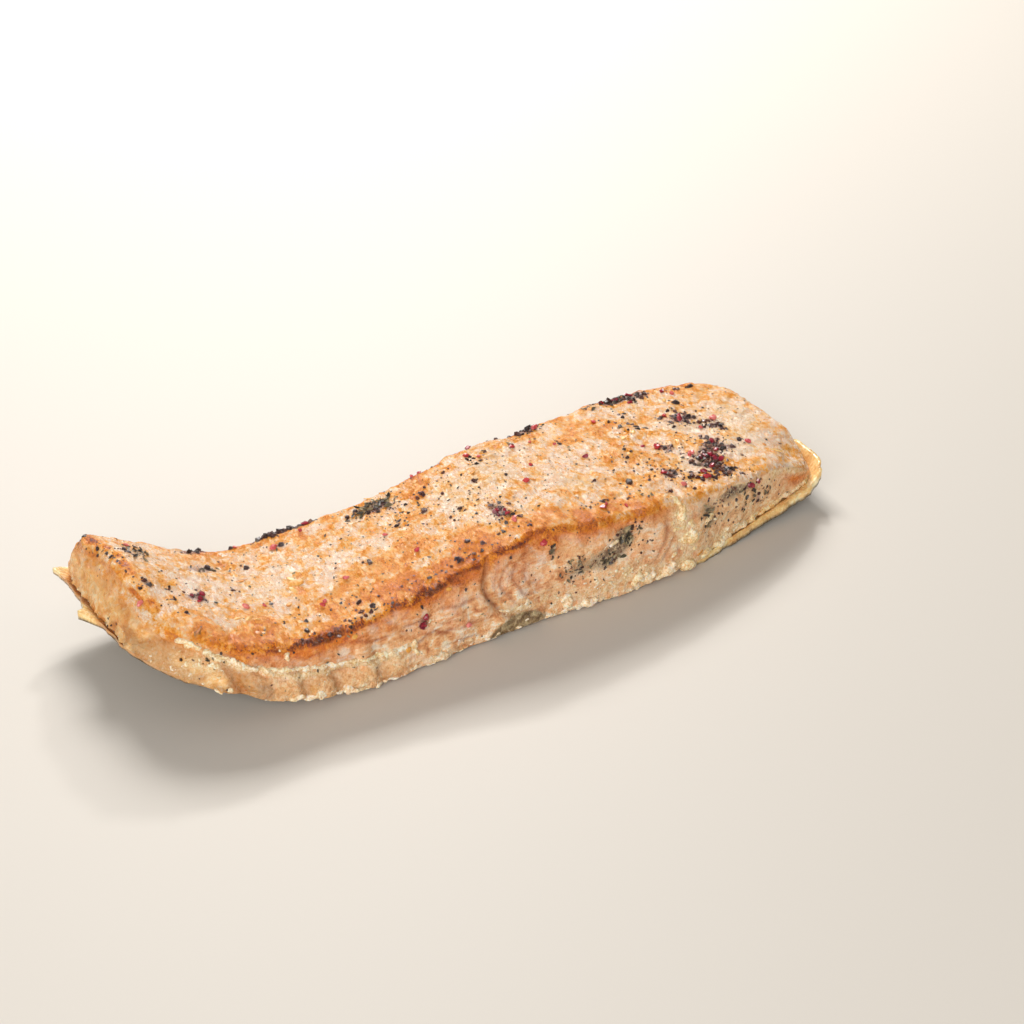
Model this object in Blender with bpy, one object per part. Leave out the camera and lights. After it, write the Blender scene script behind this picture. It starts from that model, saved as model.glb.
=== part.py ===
# Grilled salmon: one long fillet portion cut across the side of the fish, lying on its skin.
# Two solids: the cooked flesh with its cracked pepper and milky curds, and the skin under it.
# X runs from the thin belly end to the back end, Y away from the near cut face, Z up.
# Shapes are worked out in millimetres and written to the meshes in metres.
import math
import random

import bmesh
import bpy
from mathutils import Matrix, Vector, noise
from mathutils.bvhtree import BVHTree

MM = 0.001
# The middle of the plan below, which becomes the origin, under the middle of the bounding box.
MIDDLE = Vector((0.733, 5.191, 0))

# Plan of the underside: the belly end, the back end, and the two cut faces along the portion.
BELLY_X = -106.0
BACK_X = 107.2
BELLY_BULGE = 2.2
BACK_BULGE = 1.8
NEAR_FACE = [(-107, -21), (-93, -23.5), (-81, -27), (-67, -29.4), (-48, -30.4), (2, -30),
             (19, -31.7), (39, -32.6), (55, -31.8), (65, -28.6), (77, -25.8), (88, -23.4), (97, -21.8),
             (108, -19.4)]
FAR_FACE = [(-107, 43), (-97, 41), (-88, 36.5), (-79, 31.5), (-63, 27.5), (-43, 25), (-23, 23.5),
            (-1, 23), (10, 25.5), (27, 28), (47, 31), (60, 33.5), (87, 35), (110, 32)]
CORNER_RADII = {"near_belly": 18.0, "far_belly": 3.0, "near_back": 5.0, "far_back": 10.0}

# Height of the whole portion, skin included, and how far each end curls up off the table.
THICKNESS = [(-107, 14.5), (-93, 15.5), (-79, 16), (-65, 17), (-53, 19.3), (-41, 21.3), (-28, 22.6),
             (-13, 25.3), (4, 27.6), (19, 26.2), (32, 24.5), (47, 23.3), (63, 21.5), (77, 19.4),
             (92, 16), (108, 11.5)]
BELLY_CURL = {"from_x": -41.0, "over": 66.0, "height": 16.0}
BACK_CURL = {"from_x": 57.0, "over": 50.0, "height": 5.0}
CROWN = 1.4
TWIST = {"from_x": -71.0, "over": 26.0, "y": 19.0, "spread": 18.0, "height": 4.0}
# The top droops towards the near corner of the back end.
DROOP = {"from_x": 89.0, "over": 19.0, "from_y": -3.0, "to_y": -19.0, "height": 5.2}

# How far each face leans in at the top, and swells at half height.
NEAR_LEAN = [(50, 3.2), (78, -0.8)]
FAR_LEAN = 3.0
BELLY_LEAN = 8.5
FAR_CORNER_LEAN = 5.5
BACK_LEAN = 1.5
SWELL = 0.9
TOP_ROUNDING = 2.0
SOFT_SHOULDER = 6.0
FOOT_ROUNDING = 1.4

# The seam on the near face, where the lower band of flesh stands proud, as share of the height.
SEAM = [(-98, 0.70), (-83, 0.55), (-63, 0.47), (-43, 0.36)]
SEAM_STEP = 1.1
# Upright cracks in the near face, and the curved gap round the thickest flake.
CRACKS = [(-89, 1.4, 2.4), (-71.5, 0.7, 2.0), (-63, 0.8, 2.0), (-50, 0.6, 2.0)]
RING = {"x": 2.0, "height": 17.5, "reach": 13.0, "stretch": 1.25, "depth": 1.1, "width": 1.7}

# The flat face that the portion rests on; the skin's underside is a little higher all round it.
REST_FACE = {"x": (-37.0, 51.0), "y": (-23.0, 16.0), "lift": 0.3, "over": 1.5}

SKIN_THICK = 1.3
GAP = 0.3
SKIN_LIP = 1.5
# How far the skin stands out past the flesh. Along the near face it stops short of it, and the
# flesh reaches down past the skin's edge; at the back end it widens to a ledge that curls up.
SKIN_PAST_NEAR = [(46, -3.6), (57, 0.2), (66, 1.0), (77, 2.2), (88, 3.1), (97, 3.8), (108, 3.8)]
SKIN_PAST_FAR = [(-108, 2.5), (-94, 0.5)]
SKIN_PAST_BACK = 3.2
SKIN_TIP_RISE = 3.0
FLAPS = [{"y": 20.0, "spread": 3.8, "reach": 3.2, "droop": 2.2, "lip": 2.0},
         {"y": 41.0, "spread": 4.0, "reach": 2.6, "droop": 0.0, "lip": 0.6}]
FOOT_REACH = 1.3
NO_GROWTH = {"belly": 0, "back": 0, "near": 0, "far": 0}

# Grids of the two slabs: cells along, across and up.
FLESH_CELLS = (66, 17, 8)
SKIN_CELLS = (46, 14, 1)

# Pepper and herb crumbs on the seared top: x, y, spread in x and y, count, least and largest size.
TOP_CRUMBS = [
    (-50, 24.2, 6.0, 1.6, 11, 1.6, 3.0),
    (-75, 25.5, 4.0, 1.5, 3, 1.4, 2.2),
    (-94, 21.0, 2.5, 3.5, 4, 1.3, 2.2),
    (-88, 0.0, 4.5, 2.0, 4, 1.2, 1.9),
    (-24, 13.5, 6.0, 3.0, 10, 1.3, 2.4),
    (34, 25.0, 4.0, 3.0, 7, 1.5, 2.6),
    (70, 29.0, 9.0, 2.2, 13, 1.5, 3.2),
    (71, -14.0, 5.5, 4.5, 12, 1.5, 2.8),
    (78, -8.0, 4.5, 4.0, 9, 1.4, 2.6),
    (74, -22.5, 5.5, 2.0, 8, 1.4, 2.6),
    (79, 9.5, 4.5, 4.0, 9, 1.4, 2.6),
    (86, 2.5, 2.5, 3.0, 5, 1.3, 2.4),
    (58, -16.0, 4.0, 6.0, 7, 1.3, 2.4),
    (64, -5.0, 4.0, 3.5, 4, 1.3, 2.4),
    (0, -14.0, 3.0, 5.0, 5, 1.3, 2.4),
]
# Single crumbs large enough to stand out: x, y, size.
LONE_CRUMBS = [
    (-97.8, 6.9, 2.4), (-97.4, 4.6, 2.6), (-76, 14.5, 2.9), (-92.5, -6.3, 2.2), (-75, 1.5, 2.2),
    (-65.5, 12.5, 2.4), (-66, -22, 2.4), (-68.5, -7.2, 1.8), (-52.7, 16, 2.5), (-38.4, -7.8, 2.6),
    (-49, -19.8, 2.6), (-46.5, -22.8, 2.4), (-23.9, 2.2, 1.8), (-21.9, 3.8, 1.9), (-15.5, 1.2, 2.6),
    (-11.4, 8.6, 2.8), (-18.8, -22.4, 2.6), (-13.3, -17.8, 2.2), (-7.5, -4.6, 2.2), (2.8, 3.8, 2.6),
    (24, 16.8, 2.4), (23, 28, 2.6), (33.9, -11, 2.0), (42.6, -15.6, 3.2), (48.2, -17.2, 1.9),
    (50, -4, 1.9), (51, -24, 2.0), (59.3, 12, 2.4), (64.2, 11, 2.4), (84.8, 18.5, 3.0),
    (88.2, -8, 2.6), (-1.5, 13.5, 2.0), (37.5, 11.8, 1.8),
]
# Milky curds and seeds on the near face: x, rise above its foot, length, height, thickness.
CURDS = [
    (-74.5, 13.5, 1.8, 2.6, 1.6), (-59, 2.2, 3.0, 3.4, 2.2), (-38, 8.0, 2.4, 4.0, 1.6),
    (-30, 2.0, 5.0, 2.0, 2.0), (11, 4.0, 3.6, 5.0, 2.6), (17.5, 2.2, 5.0, 3.2, 2.8),
    (27, 18.2, 5.0, 1.8, 1.4), (34, 4.8, 4.0, 3.6, 2.4), (37.5, 3.2, 3.8, 3.8, 2.6),
    (45, 3.4, 5.0, 4.0, 3.0), (52, 2.4, 6.0, 4.0, 3.0), (50.5, 19.5, 2.6, 6.0, 2.2),
    (53.5, 10.5, 4.0, 4.0, 2.0), (60.5, 14.3, 4.6, 1.6, 1.5),
]


def along(stations, x):
    """Value of a smooth curve through the stations, level beyond the first and the last."""
    if x <= stations[0][0]:
        return stations[0][1]
    for i in range(len(stations) - 1):
        x0, y0 = stations[i]
        x1, y1 = stations[i + 1]
        if x <= x1:
            before = stations[max(i - 1, 0)]
            after = stations[min(i + 2, len(stations) - 1)]
            slope0 = (y1 - before[1]) / (x1 - before[0])
            slope1 = (after[1] - y0) / (after[0] - x0)
            h, t = x1 - x0, (x - x0) / (x1 - x0)
            return (y0 * (1 + 2 * t) * (1 - t) ** 2 + slope0 * h * t * (1 - t) ** 2
                    + y1 * t * t * (3 - 2 * t) + slope1 * h * t * t * (t - 1))
    return stations[-1][1]


def ease(t):
    t = min(max(t, 0.0), 1.0)
    return t * t * (3 - 2 * t)


def underside(x):
    """Height of the skin's underside, flat in the middle and curling up at both ends."""
    belly = max(BELLY_CURL["from_x"] - x, 0.0) / BELLY_CURL["over"]
    back = max(x - BACK_CURL["from_x"], 0.0) / BACK_CURL["over"]
    return BELLY_CURL["height"] * belly ** 2 + BACK_CURL["height"] * back ** 2


def rest_on_table(x, y, cell_x, cell_y):
    """Plan position and lift of a point of the underside: the nearest grid lines are drawn onto the
    straight edges of the flat face, and the rest is lifted clear of the table."""
    for line in REST_FACE["x"]:
        x = line if abs(x - line) < cell_x / 2 else x
    for line in REST_FACE["y"]:
        y = line if abs(y - line) < cell_y / 2 else y
    outside = max(REST_FACE["x"][0] - x, x - REST_FACE["x"][1], REST_FACE["y"][0] - y, y - REST_FACE["y"][1])
    return x, y, REST_FACE["lift"] * ease(outside / REST_FACE["over"])


def top_height(x, y, v):
    """Height of the seared top. v runs from -1 at the near edge to 1 at the far edge."""
    twist = max(TWIST["from_x"] - x, 0.0) / TWIST["over"]
    bump = TWIST["height"] * min(twist, 1.3) * math.exp(-((y - TWIST["y"]) / TWIST["spread"]) ** 2)
    droop = (DROOP["height"] * ease((x - DROOP["from_x"]) / DROOP["over"])
             * ease((y - DROOP["from_y"]) / (DROOP["to_y"] - DROOP["from_y"])))
    return underside(x) + along(THICKNESS, x) + bump - droop + CROWN * (1 - v * v)


def round_plan(x, y, half_x, half_y):
    """Moves a point of a rectangle so that its four corners are round."""
    end = "belly" if x < 0 else "back"
    side = "near" if y < 0 else "far"
    radius = CORNER_RADII[f"{side}_{end}"]
    dx, dy = abs(x) - (half_x - radius), abs(y) - (half_y - radius)
    if dx <= 0 or dy <= 0:
        return x, y
    keep = max(dx, dy) / math.hypot(dx, dy)
    return (math.copysign(half_x - radius + dx * keep, x),
            math.copysign(half_y - radius + dy * keep, y))


def top_rounding(x, y, half_x, half_y):
    """Radius of the top edge: crisp along the sear, soft where the near belly corner droops."""
    soft = ease((-x / half_x - 0.78) / 0.2) * ease((-y / half_y - 0.1) / 0.7)
    return TOP_ROUNDING + (SOFT_SHOULDER - TOP_ROUNDING) * soft


def round_edges(x, y, z, half_x, half_y, height):
    """Rounds the top and bottom edges of a box that stands on z = 0."""
    inset = min(half_x - abs(x), half_y - abs(y))
    top_radius = top_rounding(x, y, half_x, half_y)
    for radius, rise in ((top_radius, z - (height - top_radius)),
                         (FOOT_ROUNDING, FOOT_ROUNDING - z)):
        out = radius - inset
        if out <= 0 or rise <= 0:
            continue
        keep = max(out, rise) / math.hypot(out, rise)
        inward = out - out * keep
        if half_x - abs(x) < half_y - abs(y):
            x -= math.copysign(inward, x)
        else:
            y -= math.copysign(inward, y)
        z = height - top_radius + rise * keep if z > height / 2 else FOOT_ROUNDING - rise * keep
    return x, y, z


def place_in_outline(s, v, w, grow):
    """Plan position for shares along (0 to 1), across (-1 to 1) and up (0 to 1)."""
    share = (v + 1) / 2
    belly_lean = BELLY_LEAN + (FAR_CORNER_LEAN - BELLY_LEAN) * ease((share - 0.6) / 0.4)
    bulge = 4 * share * (1 - share)
    belly = BELLY_X - BELLY_BULGE * bulge - grow["belly"] + belly_lean * w
    back = BACK_X + BACK_BULGE * bulge + grow["back"] - BACK_LEAN * w
    x = belly + (back - belly) * s
    near = along(NEAR_FACE, x) - grow["near"] + along(NEAR_LEAN, x) * w
    far = along(FAR_FACE, x) + grow["far"] - FAR_LEAN * w
    return x, near + (far - near) * share


def new_slab(name, cells, size):
    """A cube primitive of the given size on z = 0, cut into a grid on every face."""
    bpy.ops.mesh.primitive_cube_add(size=1, location=(0, 0, 0))
    slab = bpy.context.object
    slab.name = slab.data.name = name
    bm = bmesh.new()
    bm.from_mesh(slab.data)
    for axis, cuts in enumerate(cells):
        edges = [e for e in bm.edges
                 if abs(e.verts[0].co[axis] - e.verts[1].co[axis]) > 0.5]
        if cuts > 1:
            bmesh.ops.subdivide_edges(bm, edges=edges, cuts=cuts - 1, use_grid_fill=True)
    for vertex in bm.verts:
        vertex.co = Vector((vertex.co.x * size[0], vertex.co.y * size[1], (vertex.co.z + 0.5) * size[2]))
    return slab, bm


def finish_mesh(obj, bm):
    bm.normal_update()
    bm.to_mesh(obj.data)
    bm.free()
    obj.data.shade_smooth()


def near_gaps(x, w):
    """How deep the cracks and the curved gap cut into the near face."""
    depth = sum(deep * math.exp(-((x - at + 4 * (w - 0.5)) / width) ** 2) * ease((0.8 - w) / 0.3)
                for at, deep, width in CRACKS)
    rise = (along(THICKNESS, x) * w - RING["height"])
    reach = math.hypot((x - RING["x"]) / RING["stretch"], rise)
    beside = ease((RING["x"] + 2.5 - x) / 7)
    return depth + RING["depth"] * beside * math.exp(-((reach - RING["reach"]) / RING["width"]) ** 2)


def flesh_point(point, size):
    """Where a point of the flesh's box ends up, with the relief of the cut faces and the crust."""
    half_x, half_y, height = size[0] / 2, size[1] / 2, size[2]
    x, y, z = round_edges(*point, half_x, half_y, height)
    x, y = round_plan(x, y, half_x, half_y)
    s, v, w = x / size[0] + 0.5, y / half_y, z / height
    on_wall = ease((max(abs(v), abs(2 * s - 1)) - 0.9) / 0.1)
    x, y = place_in_outline(s, v, w, NO_GROWTH)
    outward = Vector((math.copysign(ease((abs(2 * s - 1) - 0.93) / 0.07), s - 0.5),
                      math.copysign(ease((abs(v) - 0.9) / 0.1), v), 0))
    swell = SWELL * math.sin(math.pi * w) * on_wall
    grain = noise.noise(Vector((x / 7, y / 7, z / 5))) * 0.9
    if v < -0.9 and -104 < x < -36:
        swell += SEAM_STEP * ease((along(SEAM, x) - w) / 0.18) * ease((-36 - x) / 10)
    if v < -0.9:
        swell -= near_gaps(x, w)
    x += outward.x * (swell + grain * on_wall)
    y += outward.y * (swell + grain * on_wall)
    past_skin = ease((-v - 0.9) / 0.1) * ease((46 - x) / 12) * ease((x + 88) / 8)
    floor = underside(x) + SKIN_THICK + GAP - FOOT_REACH * past_skin
    top = top_height(x, y, v) + noise.noise(Vector((x / 11, y / 8, 3.0))) * 0.8
    return Vector((x, y, floor + (top - floor) * w))


def make_flesh():
    size = (212.0, 54.0, 22.0)
    flesh, bm = new_slab("salmon_flesh", FLESH_CELLS, size)
    for vertex in bm.verts:
        vertex.co = (flesh_point(vertex.co, size) - MIDDLE) * MM
    finish_mesh(flesh, bm)
    thin_flat_faces(flesh, 0.3)
    return flesh


def thin_flat_faces(obj, degrees):
    """Merges neighbouring faces that lie in one plane, such as those of the hidden underside."""
    thin = obj.modifiers.new("thin", "DECIMATE")
    thin.decimate_type = "DISSOLVE"
    thin.angle_limit = math.radians(degrees)
    bpy.context.view_layer.objects.active = obj
    bpy.ops.object.modifier_apply(modifier=thin.name)


def skin_overhang(x):
    """How far the skin stands out past the near cut face, with an uneven edge."""
    return along(SKIN_PAST_NEAR, x) * (1 + 0.25 * noise.noise(Vector((x / 6, 0, 0))))


def at_flaps(y, key):
    """Sum over the flaps at the belly end of one of their sizes, faded to both sides."""
    return sum(flap[key] * math.exp(-((y - flap["y"]) / flap["spread"]) ** 2) for flap in FLAPS)


def skin_point(point, size):
    """The outermost ring of the skin's grid is the rim past the flesh; the rest lies under it."""
    half_x, half_y = size[0] / 2, size[1] / 2
    cell_x, cell_y = size[0] / SKIN_CELLS[0], size[1] / SKIN_CELLS[1]
    rim = max(abs(point.x) / half_x, abs(point.y) / half_y) > 0.999
    inner_x, inner_y = half_x - cell_x, half_y - cell_y
    under_x = min(max(point.x, -inner_x), inner_x) * half_x / inner_x
    under_y = min(max(point.y, -inner_y), inner_y) * half_y / inner_y
    x, y = round_plan(under_x, under_y, half_x, half_y)
    s, v, w = x / size[0] + 0.5, y / half_y, point.z / size[2]
    along_x = place_in_outline(s, v, 0, NO_GROWTH)[0]
    past_near = skin_overhang(along_x)
    x, y = place_in_outline(s, v, 0, {**NO_GROWTH, "near": min(0, past_near - 1)})
    thick, rise = SKIN_THICK, 0
    if rim:
        flap_y = y
        x, y = place_in_outline(s, v, 0, {"belly": at_flaps(y, "reach"), "back": SKIN_PAST_BACK,
                                          "near": past_near, "far": along(SKIN_PAST_FAR, x)})
        belly_end = ease((-100 - x) / 4)
        thick += SKIN_LIP * ease((x - 50) / 20) + at_flaps(flap_y, "lip") * belly_end
        rise = (SKIN_TIP_RISE * ease((x - 103) / 8) * ease((4 - y) / 14)
                - at_flaps(flap_y, "droop") * belly_end)
    if w > 0.5:
        return Vector((x, y, underside(x) + rise + thick))
    x, y, lift = rest_on_table(x, y, cell_x, cell_y)
    return Vector((x, y, underside(x) + rise + lift))


def make_skin():
    size = (212.0, 54.0, 1.0)
    skin, bm = new_slab("salmon_skin", SKIN_CELLS, size)
    for vertex in bm.verts:
        vertex.co = (skin_point(vertex.co, size) - MIDDLE) * MM
    finish_mesh(skin, bm)
    thin_flat_faces(skin, 0.3)
    return skin


def crumb_places():
    """Plan position and size of every crumb on the seared top, clusters first."""
    rng = random.Random(41)
    places = []
    for x, y, spread_x, spread_y, count, least, most in TOP_CRUMBS:
        for _ in range(count):
            size = rng.uniform(least, most)
            places.append((x + rng.gauss(0, spread_x * 0.55), y + rng.gauss(0, spread_y * 0.55), size))
    return places + LONE_CRUMBS


def add_lump(collection, place, size, rng):
    """One jagged lump: an icosahedron, squashed, turned and dented."""
    bpy.ops.mesh.primitive_ico_sphere_add(subdivisions=1, radius=0.5 * MM)
    lump = bpy.context.object
    turn = Matrix.Rotation(rng.uniform(-0.5, 0.5), 4, "X") @ Matrix.Rotation(rng.uniform(-0.5, 0.5), 4, "Y")
    for vertex in lump.data.vertices:
        dent = rng.uniform(0.75, 1.15)
        vertex.co = turn @ Vector(c * k * dent for c, k in zip(vertex.co, size))
    lump.location = place
    bpy.context.collection.objects.unlink(lump)
    collection.objects.link(lump)


def surface_under(tree, x, y):
    """The point of the seared top under x and y, in metres, or None beside it."""
    start = (Vector((x, y, 100)) - MIDDLE) * MM
    return tree.ray_cast(start, Vector((0, 0, -1)))[0]


def surface_beside(tree, x, rise):
    """The point of the near cut face at x and at a rise above its foot, in metres."""
    start = (Vector((x, -80, underside(x) + rise)) - MIDDLE) * MM
    return tree.ray_cast(start, Vector((0, 1, 0)))[0]


def make_crumbs(collection, tree):
    """Cracked pepper on the top, in clusters and as single crumbs, and curds on the near face."""
    rng = random.Random(42)
    for x, y, size in crumb_places():
        hit = surface_under(tree, x, y)
        if hit:
            add_lump(collection, hit, (size * 1.2, size, size * 0.8), rng)
    for x, rise, length, height, thick in CURDS:
        hit = surface_beside(tree, x, rise)
        add_lump(collection, hit, (length, thick, height), rng)


def drop_scraps(obj):
    """Keeps only the largest connected piece of the mesh."""
    bm = bmesh.new()
    bm.from_mesh(obj.data)
    left, largest = set(bm.verts), set()
    while left:
        piece, front = set(), [next(iter(left))]
        while front:
            vertex = front.pop()
            if vertex not in piece:
                piece.add(vertex)
                front.extend(e.other_vert(vertex) for e in vertex.link_edges)
        left -= piece
        largest = max(largest, piece, key=len)
    bmesh.ops.delete(bm, geom=[v for v in bm.verts if v not in largest], context="VERTS")
    bm.to_mesh(obj.data)
    bm.free()


def fuse_crumbs(flesh):
    """Joins every crumb and curd to the flesh as one solid."""
    crumbs = bpy.data.collections.new("crumbs")
    bpy.context.scene.collection.children.link(crumbs)
    tree = BVHTree.FromPolygons([v.co for v in flesh.data.vertices],
                                [p.vertices for p in flesh.data.polygons])
    make_crumbs(crumbs, tree)
    union = flesh.modifiers.new("crumbs", "BOOLEAN")
    union.operation = "UNION"
    union.operand_type = "COLLECTION"
    union.collection = crumbs
    union.solver = "MANIFOLD"
    bpy.context.view_layer.objects.active = flesh
    bpy.ops.object.modifier_apply(modifier=union.name)
    for lump in list(crumbs.objects):
        bpy.data.objects.remove(lump)
    bpy.data.collections.remove(crumbs)
    drop_scraps(flesh)
    flesh.data.shade_smooth()
    flesh.data.set_sharp_from_angle(angle=math.radians(35))


def give_material(obj, name, colour, roughness):
    material = bpy.data.materials.new(name)
    material.use_nodes = True
    shader = material.node_tree.nodes["Principled BSDF"]
    shader.inputs["Base Color"].default_value = (*colour, 1)
    shader.inputs["Roughness"].default_value = roughness
    shader.inputs["Metallic"].default_value = 0
    obj.data.materials.clear()
    obj.data.materials.append(material)


def main():
    for obj in list(bpy.data.objects):
        bpy.data.objects.remove(obj)
    collection = bpy.data.collections.new("grilled_salmon")
    bpy.context.scene.collection.children.link(collection)
    flesh = make_flesh()
    fuse_crumbs(flesh)
    skin = make_skin()
    give_material(flesh, "seared_salmon", (0.80, 0.46, 0.25), 0.45)
    give_material(skin, "salmon_skin", (0.62, 0.42, 0.22), 0.4)
    for obj in (flesh, skin):
        for holder in list(obj.users_collection):
            holder.objects.unlink(obj)
        collection.objects.link(obj)


main()
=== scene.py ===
import math
import random

import bmesh
import bpy
import numpy as np
from mathutils import Matrix, Vector, noise
from mathutils.bvhtree import BVHTree


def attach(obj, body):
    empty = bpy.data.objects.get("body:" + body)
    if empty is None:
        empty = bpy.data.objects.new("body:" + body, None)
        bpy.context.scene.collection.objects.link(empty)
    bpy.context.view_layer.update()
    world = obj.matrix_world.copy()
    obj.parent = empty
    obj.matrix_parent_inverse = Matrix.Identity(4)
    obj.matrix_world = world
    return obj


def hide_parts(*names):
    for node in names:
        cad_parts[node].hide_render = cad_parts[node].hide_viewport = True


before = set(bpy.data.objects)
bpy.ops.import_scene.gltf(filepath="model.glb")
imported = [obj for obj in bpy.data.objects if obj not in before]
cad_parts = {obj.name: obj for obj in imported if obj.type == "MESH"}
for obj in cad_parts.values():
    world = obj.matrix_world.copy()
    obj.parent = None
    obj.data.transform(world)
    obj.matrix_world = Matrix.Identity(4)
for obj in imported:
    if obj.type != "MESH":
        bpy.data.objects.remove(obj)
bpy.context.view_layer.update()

print("frame loaded")

# The form is worked out in millimetres on a plan of the fish: x to the back end, y away from
# the near cut face, z up from the floor. middle is where the plan's middle lies.
mm = 0.001
middle = np.array([0.733, 5.191, 0.0])

form = {
    "bellyX": -106.0, "backX": 107.2, "bellyBulge": 2.2, "backBulge": 1.8,
    "nearFace": [(-107, -21), (-93, -23.5), (-81, -27), (-67, -29.4), (-48, -30.4), (2, -30), (19, -31.7),
        (39, -32.6), (55, -31.8), (65, -28.6), (77, -25.8), (88, -23.4), (97, -21.8), (108, -19.4)],
    "farFace": [(-107, 43), (-97, 41), (-88, 36.5), (-79, 31.5), (-63, 27.5), (-43, 25), (-23, 23.5),
        (-1, 23), (10, 25.5), (27, 28), (47, 31), (60, 33.5), (87, 35), (110, 32)],
    "cornerRadii": {"nearBelly": 18.0, "farBelly": 3.0, "nearBack": 5.0, "farBack": 10.0},
    "thickness": [(-107, 14.5), (-93, 15.5), (-79, 16), (-65, 17), (-53, 19.3), (-41, 21.3), (-28, 22.6),
        (-13, 25.3), (4, 27.6), (19, 26.2), (32, 24.5), (47, 23.3), (63, 21.5), (77, 19.4), (92, 16),
        (108, 11.5)],
    "bellyCurl": (-41.0, 66.0, 16.0), "backCurl": (57.0, 50.0, 5.0),   # from x, over, height
    "crown": 1.4,
    "twist": {"fromX": -71.0, "over": 26.0, "y": 19.0, "spread": 18.0, "height": 4.0},
    "droop": {"fromX": 89.0, "over": 19.0, "fromY": -3.0, "toY": -19.0, "height": 5.2},
    "nearLean": [(50, 3.2), (78, -0.8)], "farLean": 3.0,
    "bellyLean": 8.5, "farCornerLean": 5.5, "backLean": 1.5,
    "swell": 0.9, "topRounding": 2.0, "softShoulder": 6.0, "footRounding": 1.4,
    "seam": [(-98, 0.70), (-83, 0.55), (-63, 0.47), (-43, 0.36)], "seamStep": 1.1,
    "cracks": [(-89, 1.4, 2.4), (-71.5, 0.7, 2), (-63, 0.8, 2), (-50, 0.6, 2)],   # x, depth, width
    "ring": {"x": 2.0, "height": 17.5, "reach": 13.0, "stretch": 1.25, "depth": 0.8, "width": 1.1},
    "skinThick": 1.3, "gap": 0.3, "skinLip": 1.5, "footReach": 1.3,
    "skinPastNear": [(46, -3.6), (57, 0.2), (66, 1), (77, 2.2), (88, 3.1), (97, 3.8), (108, 3.8)],
    "skinPastFar": [(-108, 2.5), (-94, 0.5)], "skinPastBack": 3.2, "skinTipRise": 3.0,
    "flaps": [{"y": 17.5, "spread": 3.6, "reach": 4.4, "droop": 1.4, "lip": 1.6},
              {"y": 41.0, "spread": 4.0, "reach": 2.6, "droop": 0.0, "lip": 0.6}],
}

# Pepper on the top: x, y, spread in x and y, count, least and largest size.
topCrumbs = [
    (-50, 24.2, 6, 1.6, 11, 1.6, 3), (-75, 25.5, 4, 1.5, 3, 1.4, 2.2), (-94, 21, 2.5, 3.5, 4, 1.3, 2.2),
    (-88, 0, 4.5, 2, 4, 1.2, 1.9), (-24, 13.5, 6, 3, 10, 1.3, 2.4), (34, 25, 4, 3, 7, 1.5, 2.6),
    (70, 29, 9, 2.2, 13, 1.5, 3.2), (71, -14, 5.5, 4.5, 12, 1.5, 2.8), (78, -8, 4.5, 4, 9, 1.4, 2.6),
    (74, -22.5, 5.5, 2, 8, 1.4, 2.6), (79, 9.5, 4.5, 4, 9, 1.4, 2.6), (86, 2.5, 2.5, 3, 5, 1.3, 2.4),
    (58, -16, 4, 6, 7, 1.3, 2.4), (64, -5, 4, 3.5, 4, 1.3, 2.4), (0, -14, 3, 5, 5, 1.3, 2.4),
]
# Single grains large enough to stand out: x, y, size.
loneCrumbs = [
    (-97.8, 6.9, 2.4), (-97.4, 4.6, 2.6), (-76, 14.5, 2.9), (-92.5, -6.3, 2.2), (-75, 1.5, 2.2),
    (-65.5, 12.5, 2.4), (-66, -22, 2.4), (-68.5, -7.2, 1.8), (-52.7, 16, 2.5), (-38.4, -7.8, 2.6),
    (-49, -19.8, 2.6), (-46.5, -22.8, 2.4), (-23.9, 2.2, 1.8), (-21.9, 3.8, 1.9), (-15.5, 1.2, 2.6),
    (-11.4, 8.6, 2.8), (-18.8, -22.4, 2.6), (-13.3, -17.8, 2.2), (-7.5, -4.6, 2.2), (2.8, 3.8, 2.6),
    (24, 16.8, 2.4), (23, 28, 2.6), (33.9, -11, 2), (42.6, -15.6, 3.2), (48.2, -17.2, 1.9), (50, -4, 1.9),
    (51, -24, 2), (59.3, 12, 2.4), (64.2, 11, 2.4), (84.8, 18.5, 3), (88.2, -8, 2.6), (-1.5, 13.5, 2),
    (37.5, 11.8, 1.8),
]
# Milky curds on the near face: x, rise above its foot, length, height, thickness.
bigCurds = [
    (-74.5, 13.5, 1.8, 2.6, 1.6), (-59, 2.2, 3, 3.4, 2.2), (-38, 8, 2.4, 4, 1.6), (-30, 2, 5, 2, 2),
    (11, 4, 3.6, 5, 2.6), (17.5, 2.2, 5, 3.2, 2.8), (26.5, 18.2, 4.6, 1.5, 0.7), (34, 4.8, 4, 3.6, 2.4),
    (37.5, 3.2, 3.8, 3.8, 2.6), (45, 3.4, 5, 4, 3), (52, 2.4, 6, 4, 3), (50.5, 19.5, 2.6, 6, 2.2),
    (53.5, 10.5, 4, 4, 2), (60.5, 14.3, 4.6, 1.6, 1.5),
]


def crumbPlaces():
    # the same draws as for the crumbs on the solid
    rng = random.Random(41)
    places = []
    for x, y, spreadX, spreadY, count, least, most in topCrumbs:
        for _ in range(count):
            size = rng.uniform(least, most)
            places.append((x + rng.gauss(0, spreadX * 0.55), y + rng.gauss(0, spreadY * 0.55), size))
    return places + loneCrumbs


def keptOnTop(x, y):
    # short of the far top edge, so that nothing drops behind it
    return min(y, float(along(form["farFace"], x)) - form["farLean"] - 0.8)


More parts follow.
